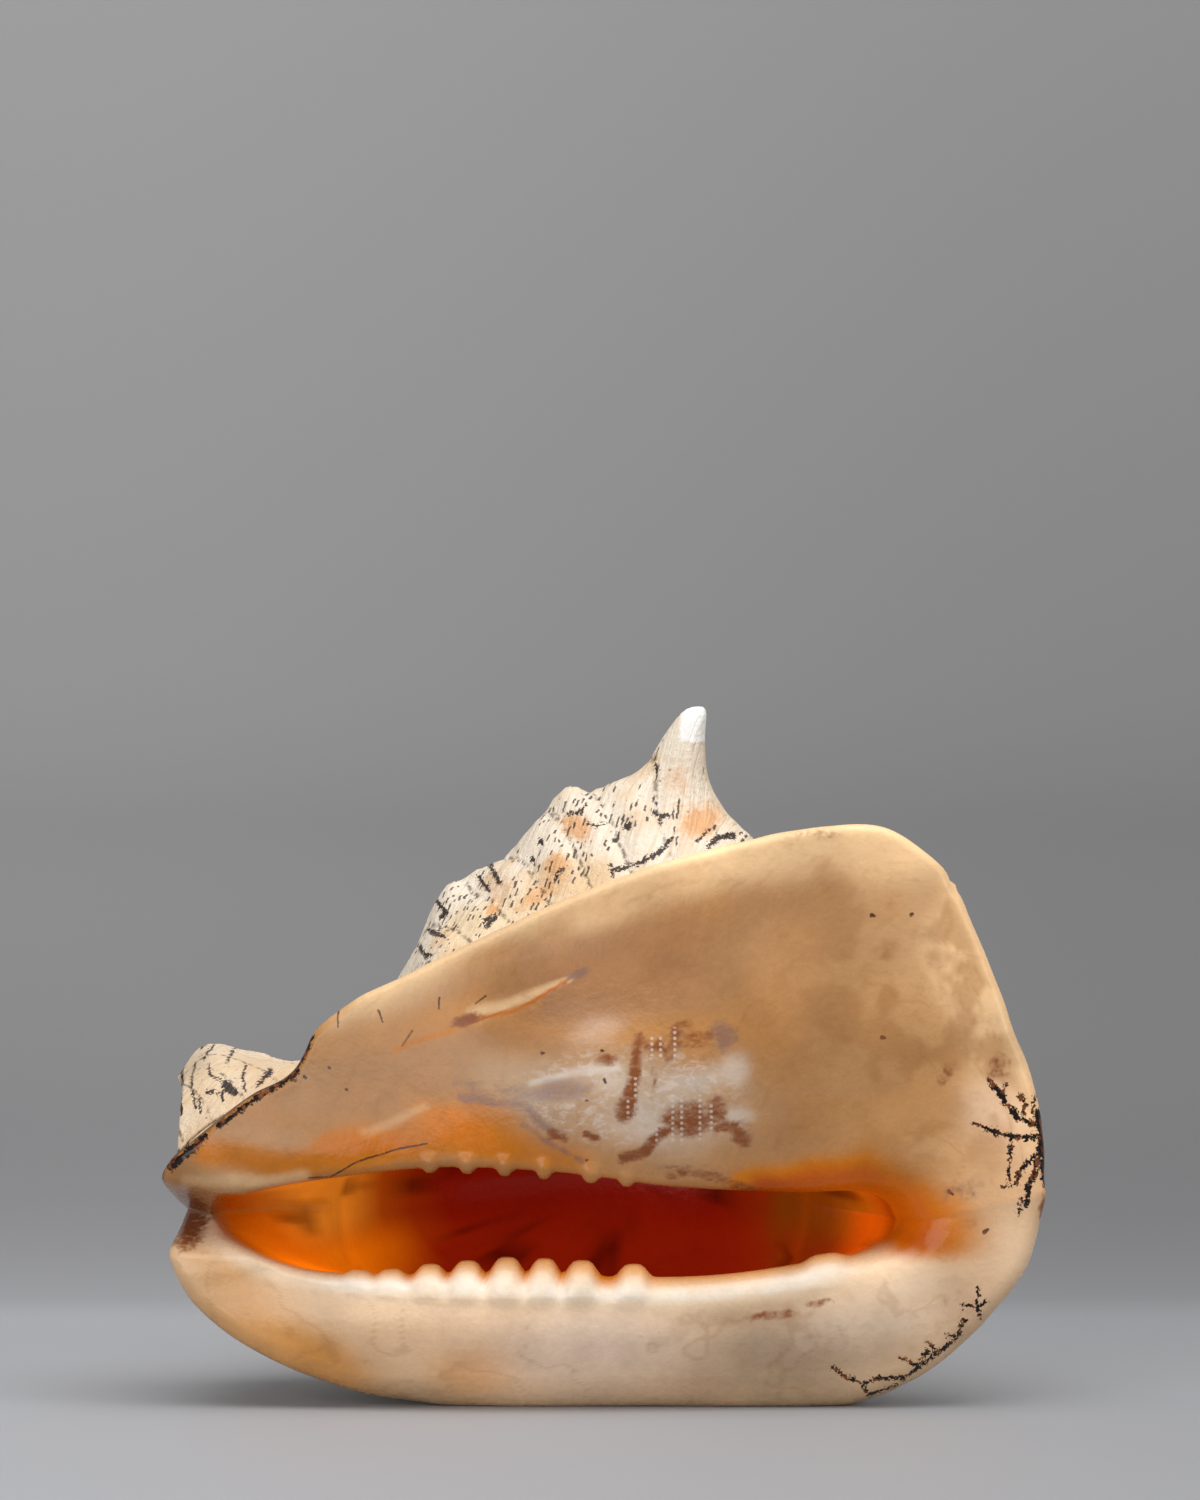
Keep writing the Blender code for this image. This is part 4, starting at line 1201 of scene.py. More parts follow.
@dataclass
class Effects:
    """The node groups of the finishes, and the chains of strokes made with them."""

    stroke: Tree | None = None
    specks: Tree | None = None
    shake: Tree | None = None
    fray: Tree | None = None

    def build(self) -> None:
        """Build each group once."""
        self.stroke = self.build_stroke()
        self.specks = self.build_specks()
        self.shake = self.build_shake()
        self.fray = self.build_fray()

    def build_stroke(self) -> Tree:
        """Build the distance to a short straight line that narrows to its end.

        Returns:
            A group that gives how far a point lies outside the line, below 0 within its width.
        """
        number, vector = Socket.NUMBER, Socket.VECTOR
        inputs = {"Place": vector, "Start": vector, "Reach": vector}
        inputs |= {"Inverse": number, "Width": number, "Before": number}
        wires, given, sink = new_group("Stroke", inputs, {"Distance": number})
        away = wires.vector("SUBTRACT", given["Place"], given["Start"])
        ahead = wires.vector("DOT_PRODUCT", away, given["Reach"])
        share = wires.math("MULTIPLY", ahead, given["Inverse"], clamp=True)
        nearest = wires.vector("SCALE", given["Reach"], share)
        far = wires.vector("DISTANCE", away, nearest)
        narrow = wires.scaled(share, -STROKE_TAPER, 1.0)
        own = wires.less(far, wires.times(narrow, given["Width"]))
        wires.plug(sink.inputs["Distance"], wires.math("MINIMUM", own, given["Before"]))
        return wires.tree

    def build_specks(self) -> Tree:
        """Build sparse round specks of uneven size.

        Returns:
            A group that gives the mask of the specks.
        """
        number, vector = Socket.NUMBER, Socket.VECTOR
        wires, given, sink = new_group(
            "Specks", {"Place": vector, "Scale": number, "Size": number, "Share": number}, {"Mask": number}
        )
        cells = wires.node("ShaderNodeTexVoronoi", feature="F1")
        wires.plug(cells.inputs["Vector"], given["Place"])
        wires.plug(cells.inputs["Scale"], given["Scale"])
        chance, size, _ = wires.split(cells.outputs["Color"], colour=True)[:3]
        reach = wires.times(given["Size"], wires.scaled(size, 0.8, 0.3))
        dot = wires.step(cells.outputs["Distance"], reach, 0.0)
        kept = wires.math("LESS_THAN", chance, given["Share"])
        wires.plug(sink.inputs["Mask"], wires.times(dot, kept))
        return wires.tree

    def build_shake(self) -> Tree:
        """Build the shaking of a place by a noise, which bends what is drawn there.

        Returns:
            A group that gives the shaken place, with y left out.
        """
        number, vector = Socket.NUMBER, Socket.VECTOR
        inputs = {"Place": vector, "Scale": number, "Reach": number}
        wires, given, sink = new_group("Shake", inputs, {"Place": vector})
        jitter = wires.noise(given["Place"], given["Scale"], 2.0, 0.7, kind="Color")
        away = wires.vector("SCALE", wires.vector("SUBTRACT", jitter, 0.5), given["Reach"])
        moved = wires.vector("ADD", given["Place"], away)
        wires.plug(sink.inputs["Place"], wires.vector("MULTIPLY", moved, (1.0, 0.0, 1.0)))
        return wires.tree

    def build_fray(self) -> Tree:
        """Build the ragged edge of a mark.

        Returns:
            A group that turns the distance to a mark into its mask.
        """
        number, vector = Socket.NUMBER, Socket.VECTOR
        inputs = {"Place": vector, "Distance": number, "Scale": number, "Strength": number, "Added": number}
        wires, given, sink = new_group("Fray", inputs, {"Mask": number})
        ragged = wires.noise(given["Place"], given["Scale"], 2.0, 0.7)
        ragged = wires.scaled(ragged, given["Strength"], given["Added"])
        wires.plug(sink.inputs["Mask"], wires.step(wires.less(given["Distance"], ragged), 0.3, -0.05))
        return wires.tree

    def strokes(self, wires: Wiring, at: Any, lines: Sequence[tuple[float, Knots]]) -> Wire:
        """Chain the strokes of several bent lines.

        Args:
            wires: The material's wiring.
            at: The place on the piece in millimetres, with y left out.
            lines: For each line its width and its corners as x, z.

        Returns:
            The distance to the nearest stroke, below 0 within it.
        """
        before: Any = FAR
        for width, corners in lines:
            for first, last in zip(corners, corners[1:]):
                reach = (last[0] - first[0], 0.0, last[1] - first[1])
                inverse = 1.0 / max(reach[0] ** 2 + reach[2] ** 2, 1e-6)
                made = wires.group(
                    self.stroke, Place=at, Start=(first[0], 0.0, first[1]), Reach=reach,
                    Inverse=inverse, Width=width, Before=before,
                )
                before = made.outputs["Distance"]
        return before

    def branches(
        self, wires: Wiring, at: Any, lines: Sequence[tuple[float, Knots]], shake: Row, fray: Row
    ) -> Wire:
        """Build branching marks: bent lines of uneven width with ragged edges.

        Args:
            wires: The material's wiring.
            at: The place on the piece in millimetres.
            lines: For each line its width and its corners as x, z.
            shake: The scale of the noise that bends the lines, and how far it moves them.
            fray: The scale of the noise that widens and narrows them, its strength and what is added.

        Returns:
            The mask of the marks.
        """
        bent = wires.group(self.shake, Place=at, Scale=shake[0], Reach=shake[1])
        near = self.strokes(wires, bent.outputs["Place"], lines)
        made = wires.group(
            self.fray, Place=at, Distance=near, Scale=fray[0], Strength=fray[1], Added=fray[2]
        )
        return made.outputs["Mask"]


Line = tuple[float, Knots]

# Black branching stains at the spire end and below it: width, then corners as x, z.
SPIRE_END_STAINS: tuple[Line, ...] = (
    (1.9, ((122.8, 82), (123.8, 75), (124.2, 69), (124.6, 62.5))),
    (1, ((122.2, 79.2), (116.6, 81.5), (113.2, 85.4), (111.5, 88.2), (108.1, 92.1))),
    (0.5, ((111.5, 88.2), (113.2, 91))), (0.6, ((117.1, 87.6), (118.5, 84.8), (118, 82.3))),
    (0.45, ((121.3, 87.4), (120.5, 82.9))),
    (0.75, ((122.2, 76.4), (118.8, 75.8), (114.3, 76.1), (111, 77), (103.7, 80.1))),
    (0.5, ((114.6, 76.1), (114.3, 71.6), (113.8, 67.4), (113.8, 63.5))),
    (0.85, ((122.2, 71.6), (119.4, 69.1), (116.6, 65.7), (116, 62.9))),
    (1, ((122.6, 73), (121.1, 66), (119.4, 61.8), (118.8, 56.7))), (0.35, ((117.4, 59), (116.6, 53.9))),
    (0.4, ((111.8, 61.8), (114.3, 62.4))), (0.5, ((100.6, 28.9), (104.9, 28.9), (108.1, 30))),
    (0.5, ((105.1, 33.7), (104.7, 28.9), (105.9, 25.3))),
    (0.65, ((101.1, 24.7), (99.7, 21.3), (97.8, 18.8), (93.3, 15.4), (89.9, 12.9), (88.5, 11.8))),
    (0.5, ((91, 18.8), (93.3, 15.4))), (0.45, ((96.3, 20.5), (98.9, 20.2))),
    (0.7, ((88.5, 11.8), (82.9, 14.6))), (0.55, ((90.7, 16.3), (88.5, 13.5))),
    (0.6, ((88.5, 11.8), (84.3, 8.4), (77.5, 8.7), (72.8, 7))),
    (0.6, ((64, 11.8), (67.4, 9.3), (72.8, 7), (74.2, 3.4))), (0.5, ((74.2, 3.4), (82.3, 6.2))),
)
# Dirt along the edge of the shield's lobe, and short dark cracks along the top of the shield.
LOBE_STAINS: tuple[Line, ...] = (
    (1.5, ((-87.5, 93.5), (-85.5, 98.5), (-82.5, 104))), (0.9, ((-108, 79.5), (-98, 87), (-87.5, 93.5))),
    (1.5, ((-121.5, 68.5), (-117, 72), (-112, 76.5))),
)
LOBE_CRACKS: tuple[Line, ...] = (
    (0.16, ((-74.4, 112.4), (-74.4, 107.6))), (0.16, ((-63, 112.4), (-61.8, 109))),
    (0.16, ((-46, 115.7), (-46, 111))), (0.14, ((-33, 116.3), (-35.7, 114.3))),
    (0.14, ((-53.4, 106.7), (-56.2, 102.5))),
    (0.14, ((-82.3, 65.5), (-76.4, 65.7), (-68.8, 70.2), (-56.7, 73.9), (-49.2, 75.3))),
    (0.3, ((-84, 93.6), (-83.4, 93.2))), (0.25, ((-77, 96.2), (-76.6, 96))),
    (0.25, ((-72, 90.2), (-71.6, 90))),
)
# Small dark pits in the window and near the spire end.
WINDOW_PITS: tuple[Line, ...] = (
    (0.4, ((-16.9, 100.8), (-16.6, 100.8))), (0.35, ((-0.3, 101.4), (0, 101.4))),
    (0.3, ((0.4, 93.6), (0.7, 92.6))), (0.3, ((-4.5, 71.1), (-4.2, 71.2))),
    (0.25, ((-4.5, 87.9), (-4.1, 87.9))),
)
SPIRE_END_PITS: tuple[Line, ...] = (
    (0.5, ((75.8, 138.8), (76.4, 138.6))), (0.4, ((87, 139), (87.4, 139.2))),
    (0.5, ((107.4, 49.8), (108.2, 50.4))), (0.5, ((78.6, 104.8), (79.2, 104.6))),
    (0.4, ((97.4, 61.4), (98.4, 60.4))),
)


@dataclass(frozen=True)
class Glaze:
    """The smooth glossy callus of the shield, the lip and the hollow, with the marks of one part of it."""

    name: str = "glaze"
    branches: tuple[Line, ...] = ()
    cracks: tuple[Line, ...] = ()
    grimy: bool = False
    beaded: bool = False
    roughness: float = 0.27
    coat: float = 0.16
    gloss: float = 0.2
    ink: Colour = srgb(30, 19, 13)
    sepia: Colour = srgb(118, 64, 30)
    brown: Colour = srgb(134, 76, 40)
    violet: Colour = srgb(130, 98, 86)
    white: Colour = srgb(214, 198, 186)
    murk: Colour = srgb(134, 94, 62)
    # Columns of white beads in the window: x, lowest, highest.
    bead_columns: Knots = (
        (19.1, 75.5, 88.5), (21.6, 75.2, 87.5), (26.7, 76.5, 88.2), (29.9, 78.5, 86), (13.3, 100, 104.5),
        (15.7, 99.5, 105), (19.7, 99, 107), (14.6, 75.5, 79.5), (8.7, 88, 93.5), (6.6, 83, 88),
    )
    bead_gap: float = 1.57

    def build(self, effects: Effects) -> bpy.types.Material:
        """Build the material.

        Args:
            effects: The shared node groups.

        Returns:
            The finished material.
        """
        material, wires, shader = new_material(self.name)
        material.cycles.emission_sampling = "NONE"
        at = wires.place()
        edge, out, signed = wires.split(wires.attribute("traits").outputs["Vector"])
        stains = wires.attribute("stains")
        brown, violet, clouds = wires.split(stains.outputs["Color"], colour=True)
        fine = wires.noise(at, 0.4, 2.0, 0.6)
        shade = wires.scaled(wires.less(fine, 0.5), 0.16, 1.0)
        shaded = wires.join(shade, shade, shade)
        colour: Any = wires.mix(1.0, wires.attribute("wash").outputs["Color"], shaded, "MULTIPLY")
        cloudy = wires.times(clouds, wires.step(fine, 0.36, 0.78))
        colour = wires.mix(wires.times(cloudy, 0.34), colour, self.murk)
        torn: Any = fine
        if self.beaded:
            brushed = wires.vector("MULTIPLY", at, (0.42, 0.42, 0.75))
            torn = wires.noise(brushed, 0.75, 3.0, 0.62, 0.5)
            off = wires.vector("MULTIPLY", wires.vector("SUBTRACT", at, (7.0, 0.0, 88.0)), (0.027, 0.0, 0.06))
            pane = wires.step(wires.vector("LENGTH", off), 1.0, 0.6)
            milky = wires.times(pane, wires.step(torn, 0.46, 0.66, 0.0, 0.5))
            colour = wires.mix(milky, colour, self.white)
        torn = wires.times(wires.less(torn, 0.5), 1.7)
        for cover, tint, most in ((violet, self.violet, 0.75), (brown, self.brown, 1.0)):
            mask = wires.step(wires.math("ADD", cover, torn), 0.05, 0.95, 0.0, most)
            mask = wires.times(mask, wires.step(cover, 0.02, 0.35))
            colour = wires.mix(mask, colour, tint)
        if self.beaded:
            colour = wires.mix(self.beads(wires, at), colour, self.white)
        streaks = wires.noise(wires.vector("MULTIPLY", at, (0.10, 0.10, 0.9)), 1.0, 2.0, 0.7)
        worn = wires.times(stains.outputs["Alpha"], wires.step(streaks, 0.5, 0.72))
        colour = wires.mix(wires.times(worn, 0.12), colour, self.murk)
        inked = self.stains(wires, effects, at, edge, signed, fine)
        if inked is not None:
            inked = wires.times(inked, wires.step(out, 0.0, 2.0))
            colour = wires.mix(inked, colour, wires.mix(wires.step(fine, 0.5, 0.62), self.ink, self.sepia))
        glow = wires.mix(1.0, wires.attribute("glow").outputs["Color"], shaded, "MULTIPLY")
        rough = wires.scaled(worn, 0.16, wires.scaled(fine, 0.2, self.roughness - 0.1))
        bumps = wires.feed(wires.node("ShaderNodeBump"), Height=fine, Strength=0.22, Distance=0.001)
        wires.feed(
            shader, Base_Color=colour, Emission_Color=glow, Emission_Strength=1.0, Roughness=rough,
            Normal=bumps.outputs["Normal"], Specular_IOR_Level=self.gloss, Coat_Weight=self.coat,
            Coat_Roughness=0.12,
        )
        return material

    def stains(self, wires: Wiring, effects: Effects, at: Any, edge: Any, signed: Any, fine: Any) -> Any:
        """Build the black marks of this part: branches, cracks and the grime along the shield's lobe.

        Args:
            wires: The material's wiring.
            effects: The shared node groups.
            at: The place on the piece.
            edge: Distance in from the free edge.
            signed: The station, below 0 on the lip.
            fine: A fine noise.

        Returns:
            The mask of the marks, or None where there are none.
        """
        inked = None
        if self.branches:
            inked = effects.branches(wires, at, self.branches, (0.5, 2.2), (1.25, 3.4, -1.75))
        if self.cracks:
            flat = wires.vector("MULTIPLY", at, (1.0, 0.0, 1.0))
            away = wires.vector("SCALE", wires.join(fine, 0.0, fine), 0.8)
            crack = effects.strokes(wires, wires.vector("ADD", flat, away), self.cracks)
            crack = wires.step(crack, 0.3, 0.0, 0.0, 0.85)
            inked = crack if inked is None else wires.math("MAXIMUM", inked, crack)
        if self.grimy:
            lobe = wires.times(wires.step(signed, 0.0, 0.02), wires.step(signed, 0.25, 0.225))
            grime = wires.step(wires.scaled(fine, -2.8, edge), 0.4, -1.0)
            inked = wires.math("MAXIMUM", inked, wires.times(wires.times(lobe, grime), 0.9))
        return inked

    def beads(self, wires: Wiring, at: Any) -> Any:
        """Build the columns of white beads in the pale window above the mouth.

        Each column is a row of dots a bead's gap apart. The distance to a dot is the hypotenuse of the
        distance to its column and a triangle wave of the height.

        Args:
            wires: The material's wiring.
            at: The place on the piece.

        Returns:
            The mask of the beads.
        """
        x, _, z = wires.split(at)
        aside: Any = FAR
        for column, low, high in self.bead_columns:
            off = wires.apart(x, column)
            past = wires.less(wires.apart(z, (low + high) / 2), (high - low) / 2)
            aside = wires.math("MINIMUM", aside, wires.math("MAXIMUM", off, past))
        beat = wires.math("FRACT", wires.math("DIVIDE", z, self.bead_gap))
        beat = wires.times(wires.less(beat, 0.5), self.bead_gap)
        far = wires.math("SQRT", wires.scaled(beat, beat, wires.times(aside, aside)))
        return wires.step(far, 0.62, 0.3, 0.0, 0.6)


# Black marks on the front of the whorl and of the snout: width, then corners as x, z.
WHORL_STAINS: tuple[Line, ...] = (
    (1, ((2.2, 150.6), (9.8, 152.8), (15.5, 155.6), (19.4, 159.8))),
    (0.5, ((1.6, 152.5), (3.2, 151), (2, 149.2))), (1, ((14.3, 167.2), (16.4, 165.8), (18.3, 166.4))),
    (0.6, ((16, 165.8), (16.2, 163.8))), (0.7, ((15.3, 180.4), (14.9, 177.9))),
    (0.8, ((21.4, 195.4), (24.2, 196), (27, 195.3))), (0.7, ((-10, 166.8), (-7, 167), (-5.3, 168.7))),
    (0.4, ((-4.6, 164), (-2.3, 163.1), (0.6, 164.2))), (1.2, ((37, 160.5), (32.9, 160.1), (29.5, 157.4))),
    (0.5, ((26.4, 159.2), (30.2, 162.2))), (1.1, ((-33.6, 153.6), (-31.8, 149.5), (-29.8, 146.8))),
    (1, ((-36.2, 148.2), (-33, 144.6))), (1.2, ((-33.8, 136.6), (-31.2, 137.4), (-33.6, 134.8))),
    (1, ((-48.4, 141.2), (-45.4, 138.2), (-47.2, 136.4))), (1.1, ((-50, 132.8), (-45.6, 131.8))),
    (1, ((-53, 128.2), (-51, 126.2), (-49.4, 126.6))), (0.8, ((-20.8, 154.2), (-20, 152.2))),
    (1.2, ((-18.2, 158.6), (-17.8, 158.2))), (1.1, ((6.6, 162.8), (7.4, 164))),
    (0.9, ((3, 159.4), (3.4, 159))), (0.7, ((-12.4, 150.8), (-13.8, 148.2))),
)
SNOUT_STAINS: tuple[Line, ...] = (
    (0.85, ((-122, 95), (-122.4, 91.5), (-121.6, 88), (-120.9, 84.6), (-120, 81.8))),
    (0.45, ((-120, 97.8), (-120.6, 95.6))), (0.7, ((-112.6, 102.3), (-115, 100.8), (-116.6, 98.8))),
    (0.4, ((-118, 101.6), (-120.4, 99.4))), (0.45, ((-113, 99.4), (-115.6, 96))),
    (0.45, ((-118, 94.4), (-118.3, 91), (-117.3, 87.2), (-115.8, 83.2))),
    (0.5, ((-113.4, 94.4), (-112.8, 92.4), (-109.2, 91))), (1.9, ((-107.6, 89.6), (-104.2, 87.6))),
    (0.7, ((-112.6, 87.7), (-108.6, 87.7), (-108.2, 85.8))),
    (0.5, ((-102.6, 94.6), (-102.9, 92), (-101.8, 88.2))), (1, ((-95.2, 93.4), (-98.2, 90.2))),
    (0.6, ((-107.2, 98), (-107.9, 95.6))), (0.5, ((-115.2, 85.8), (-114.2, 82.4))),
    (0.4, ((-126.2, 76.8), (-123.6, 77.2))),
)


@dataclass(frozen=True)
class Coat:
    """The matt ivory outside of the whorl, with rows of brown dashes and tan patches."""

    name: str = "whorl coat"
    stains: tuple[Line, ...] = ()
    tan: Colour = srgb(220, 158, 98)
    dash: Colour = srgb(52, 32, 21)
    rust: Colour = srgb(160, 86, 46)
    sepia: Colour = srgb(98, 62, 38)
    ochre: Colour = srgb(196, 158, 112)
    # Dark brown for the dirt spots, and for the painted shade in the creases between the cords.
    grime: Colour = srgb(62, 42, 28)
    # White of the painted light on the top and right side of the horns' tips.
    tip: Colour = srgb(250, 247, 240)
    stain_share: float = 0.7
    dash_gap: float = 1.35
    dash_length: float = 3.4
    row_gap: float = 9.5

    def build(self, effects: Effects) -> bpy.types.Material:
        """Build the material.

        Args:
            effects: The shared node groups.

        Returns:
            The finished material.
        """
        material, wires, shader = new_material(self.name)
        at = wires.place()
        round_by, along, station = wires.split(wires.attribute("coat").outputs["Vector"])
        across = wires.scaled(along, GROWTH_LEAN[0], wires.times(round_by, GROWTH_LEAN[1]))
        onward = wires.scaled(along, -GROWTH_LEAN[1], wires.times(round_by, GROWTH_LEAN[0]))
        wash = wires.attribute("wash")
        fine = wires.noise(at, 0.5, 3.0, 0.65, 0.3)
        lined = wires.join(wires.times(across, 0.8), wires.times(onward, 0.06), 0.0)
        lines = wires.noise(lined, 1.0, 3.0, 0.65, 0.2)
        colour: Any = wash.outputs["Color"]
        brown, tan, _ = wires.split(wires.attribute("stains").outputs["Color"], colour=True)
        colour = wires.mix(wires.step(wires.math("ADD", tan, fine), 0.55, 1.2, 0.0, 0.85), colour, self.tan)
        colour = wires.mix(wires.step(lines, 0.5, 0.72, 0.0, 0.42), colour, self.ochre)
        dashes = self.dashes(wires, across, onward, along, fine, wash.outputs["Alpha"])
        dashes = wires.times(dashes, wires.step(station, 0.26, 0.44, 0.0, 0.92))
        colour = wires.mix(dashes, colour, self.dash)
        # Painted shade: the creases between the cords are darkened with the dark brown.
        cords = wires.scaled(along, CORD_LEAN[0], wires.times(round_by, CORD_LEAN[1]))
        beat = wires.math("ABSOLUTE", wires.math("SINE", wires.times(cords, math.pi / CORD_GAP)))
        crease = wires.times(wires.step(beat, 0.26, 0.04), wires.step(fine, 0.42, 0.6, 0.0, 0.7))
        crease = wires.times(crease, wires.step(station, 0.86, 0.76))
        colour = wires.mix(crease, colour, self.grime)
        spots = wires.noise(at, 0.17, 3.0, 0.75, 1.4)
        dirt = wires.step(spots, 0.67, 0.72, 0.0, 0.85)
        colour = wires.mix(dirt, colour, self.grime)
        specks = wires.group(effects.specks, Place=at, Scale=0.38, Size=0.24, Share=0.28).outputs["Mask"]
        colour = wires.mix(wires.times(specks, 0.75), colour, self.sepia)
        rusty = wires.step(wires.math("ADD", fine, brown), 0.7, 1.1, 0.0, 0.85)
        colour = wires.mix(rusty, colour, self.rust)
        if self.stains:
            colour = wires.mix(self.marked(wires, effects, at), colour, self.dash)
        # Painted light: the top of the horns, right of x 22 mm and above z 188 mm, is painted white where the
        # lamps from the top right fall on it.
        x, _, z = wires.split(at)
        high = wires.step(wires.scaled(fine, 2.0, z), 187.8, 188.8)
        colour = wires.mix(wires.times(high, wires.step(x, 21.0, 22.6)), colour, self.tip)
        rough = wires.scaled(fine, 0.3, 0.34)
        height = wires.scaled(lines, 1.3, fine)
        bumps = wires.feed(wires.node("ShaderNodeBump"), Height=height, Strength=0.6, Distance=0.0012)
        wires.feed(shader, Base_Color=colour, Roughness=rough, Normal=bumps.outputs["Normal"])
        return material

    def marked(self, wires: Wiring, effects: Effects, at: Any) -> Wire:
        """Build the black marks on the front of the whorl.

        Args:
            wires: The material's wiring.
            effects: The shared node groups.
            at: The place on the piece.

        Returns:
            The mask of the marks.
        """
        lines = [(self.stain_share * width, line) for width, line in self.stains]
        branch = effects.branches(wires, at, lines, (0.6, 1.8), (1.2, 3.2, -1.65))
        return wires.times(branch, wires.step(wires.split(at)[1], 8.0, 0.0))

    def dashes(self, wires: Wiring, across: Any, onward: Any, along: Any, fine: Any, crowd: Any) -> Wire:
        """Build short dashes that lie along the growth lines.

        The coat is cut into cells across and along the growth lines. A cell holds at most one dash.
        Whether it does follows from chance, from rows round the whorl and from how crowded the place is.

        Args:
            wires: The material's wiring.
            across: Length across the growth lines.
            onward: Length along them.
            along: Length along the shell.
            fine: A fine noise.
            crowd: How crowded the dashes are.

        Returns:
            The mask of the dashes.
        """
        column = wires.math("DIVIDE", wires.scaled(fine, 1.8, across), self.dash_gap)
        column_no = wires.math("FLOOR", column)
        offset = wires.node("ShaderNodeTexWhiteNoise", noise_dimensions="1D")
        wires.plug(offset.inputs["W"], column_no)
        row = wires.math("DIVIDE", onward, self.dash_length)
        row = wires.scaled(offset.outputs["Value"], 1.7, row)
        cell = wires.node("ShaderNodeTexWhiteNoise", noise_dimensions="2D")
        wires.plug(cell.inputs["Vector"], wires.join(column_no, wires.math("FLOOR", row), 0.0))
        chance, size, _ = wires.split(cell.outputs["Color"], colour=True)[:3]
        band = wires.math("SINE", wires.times(along, 2 * math.pi / self.row_gap))
        dense = wires.scaled(band, 0.16, crowd)
        present = wires.math("LESS_THAN", chance, dense)
        side = wires.apart(wires.math("FRACT", column), 0.5)
        length = wires.apart(wires.math("FRACT", row), 0.5)
        reach = wires.scaled(size, 0.32, 0.12)
        slim = wires.times(wires.step(side, 0.32, 0.14), wires.step(length, reach, wires.less(reach, 0.12)))
        return wires.times(slim, present)


class Zone(Enum):
    """The parts of the skin that have a finish of their own, in the order of the materials."""

    PLAIN = 0
    WINDOW = 1
    LOBE = 2
    SPIRE_END = 3
    WHORL = 4
    WHORL_FRONT = 5
    SNOUT = 6


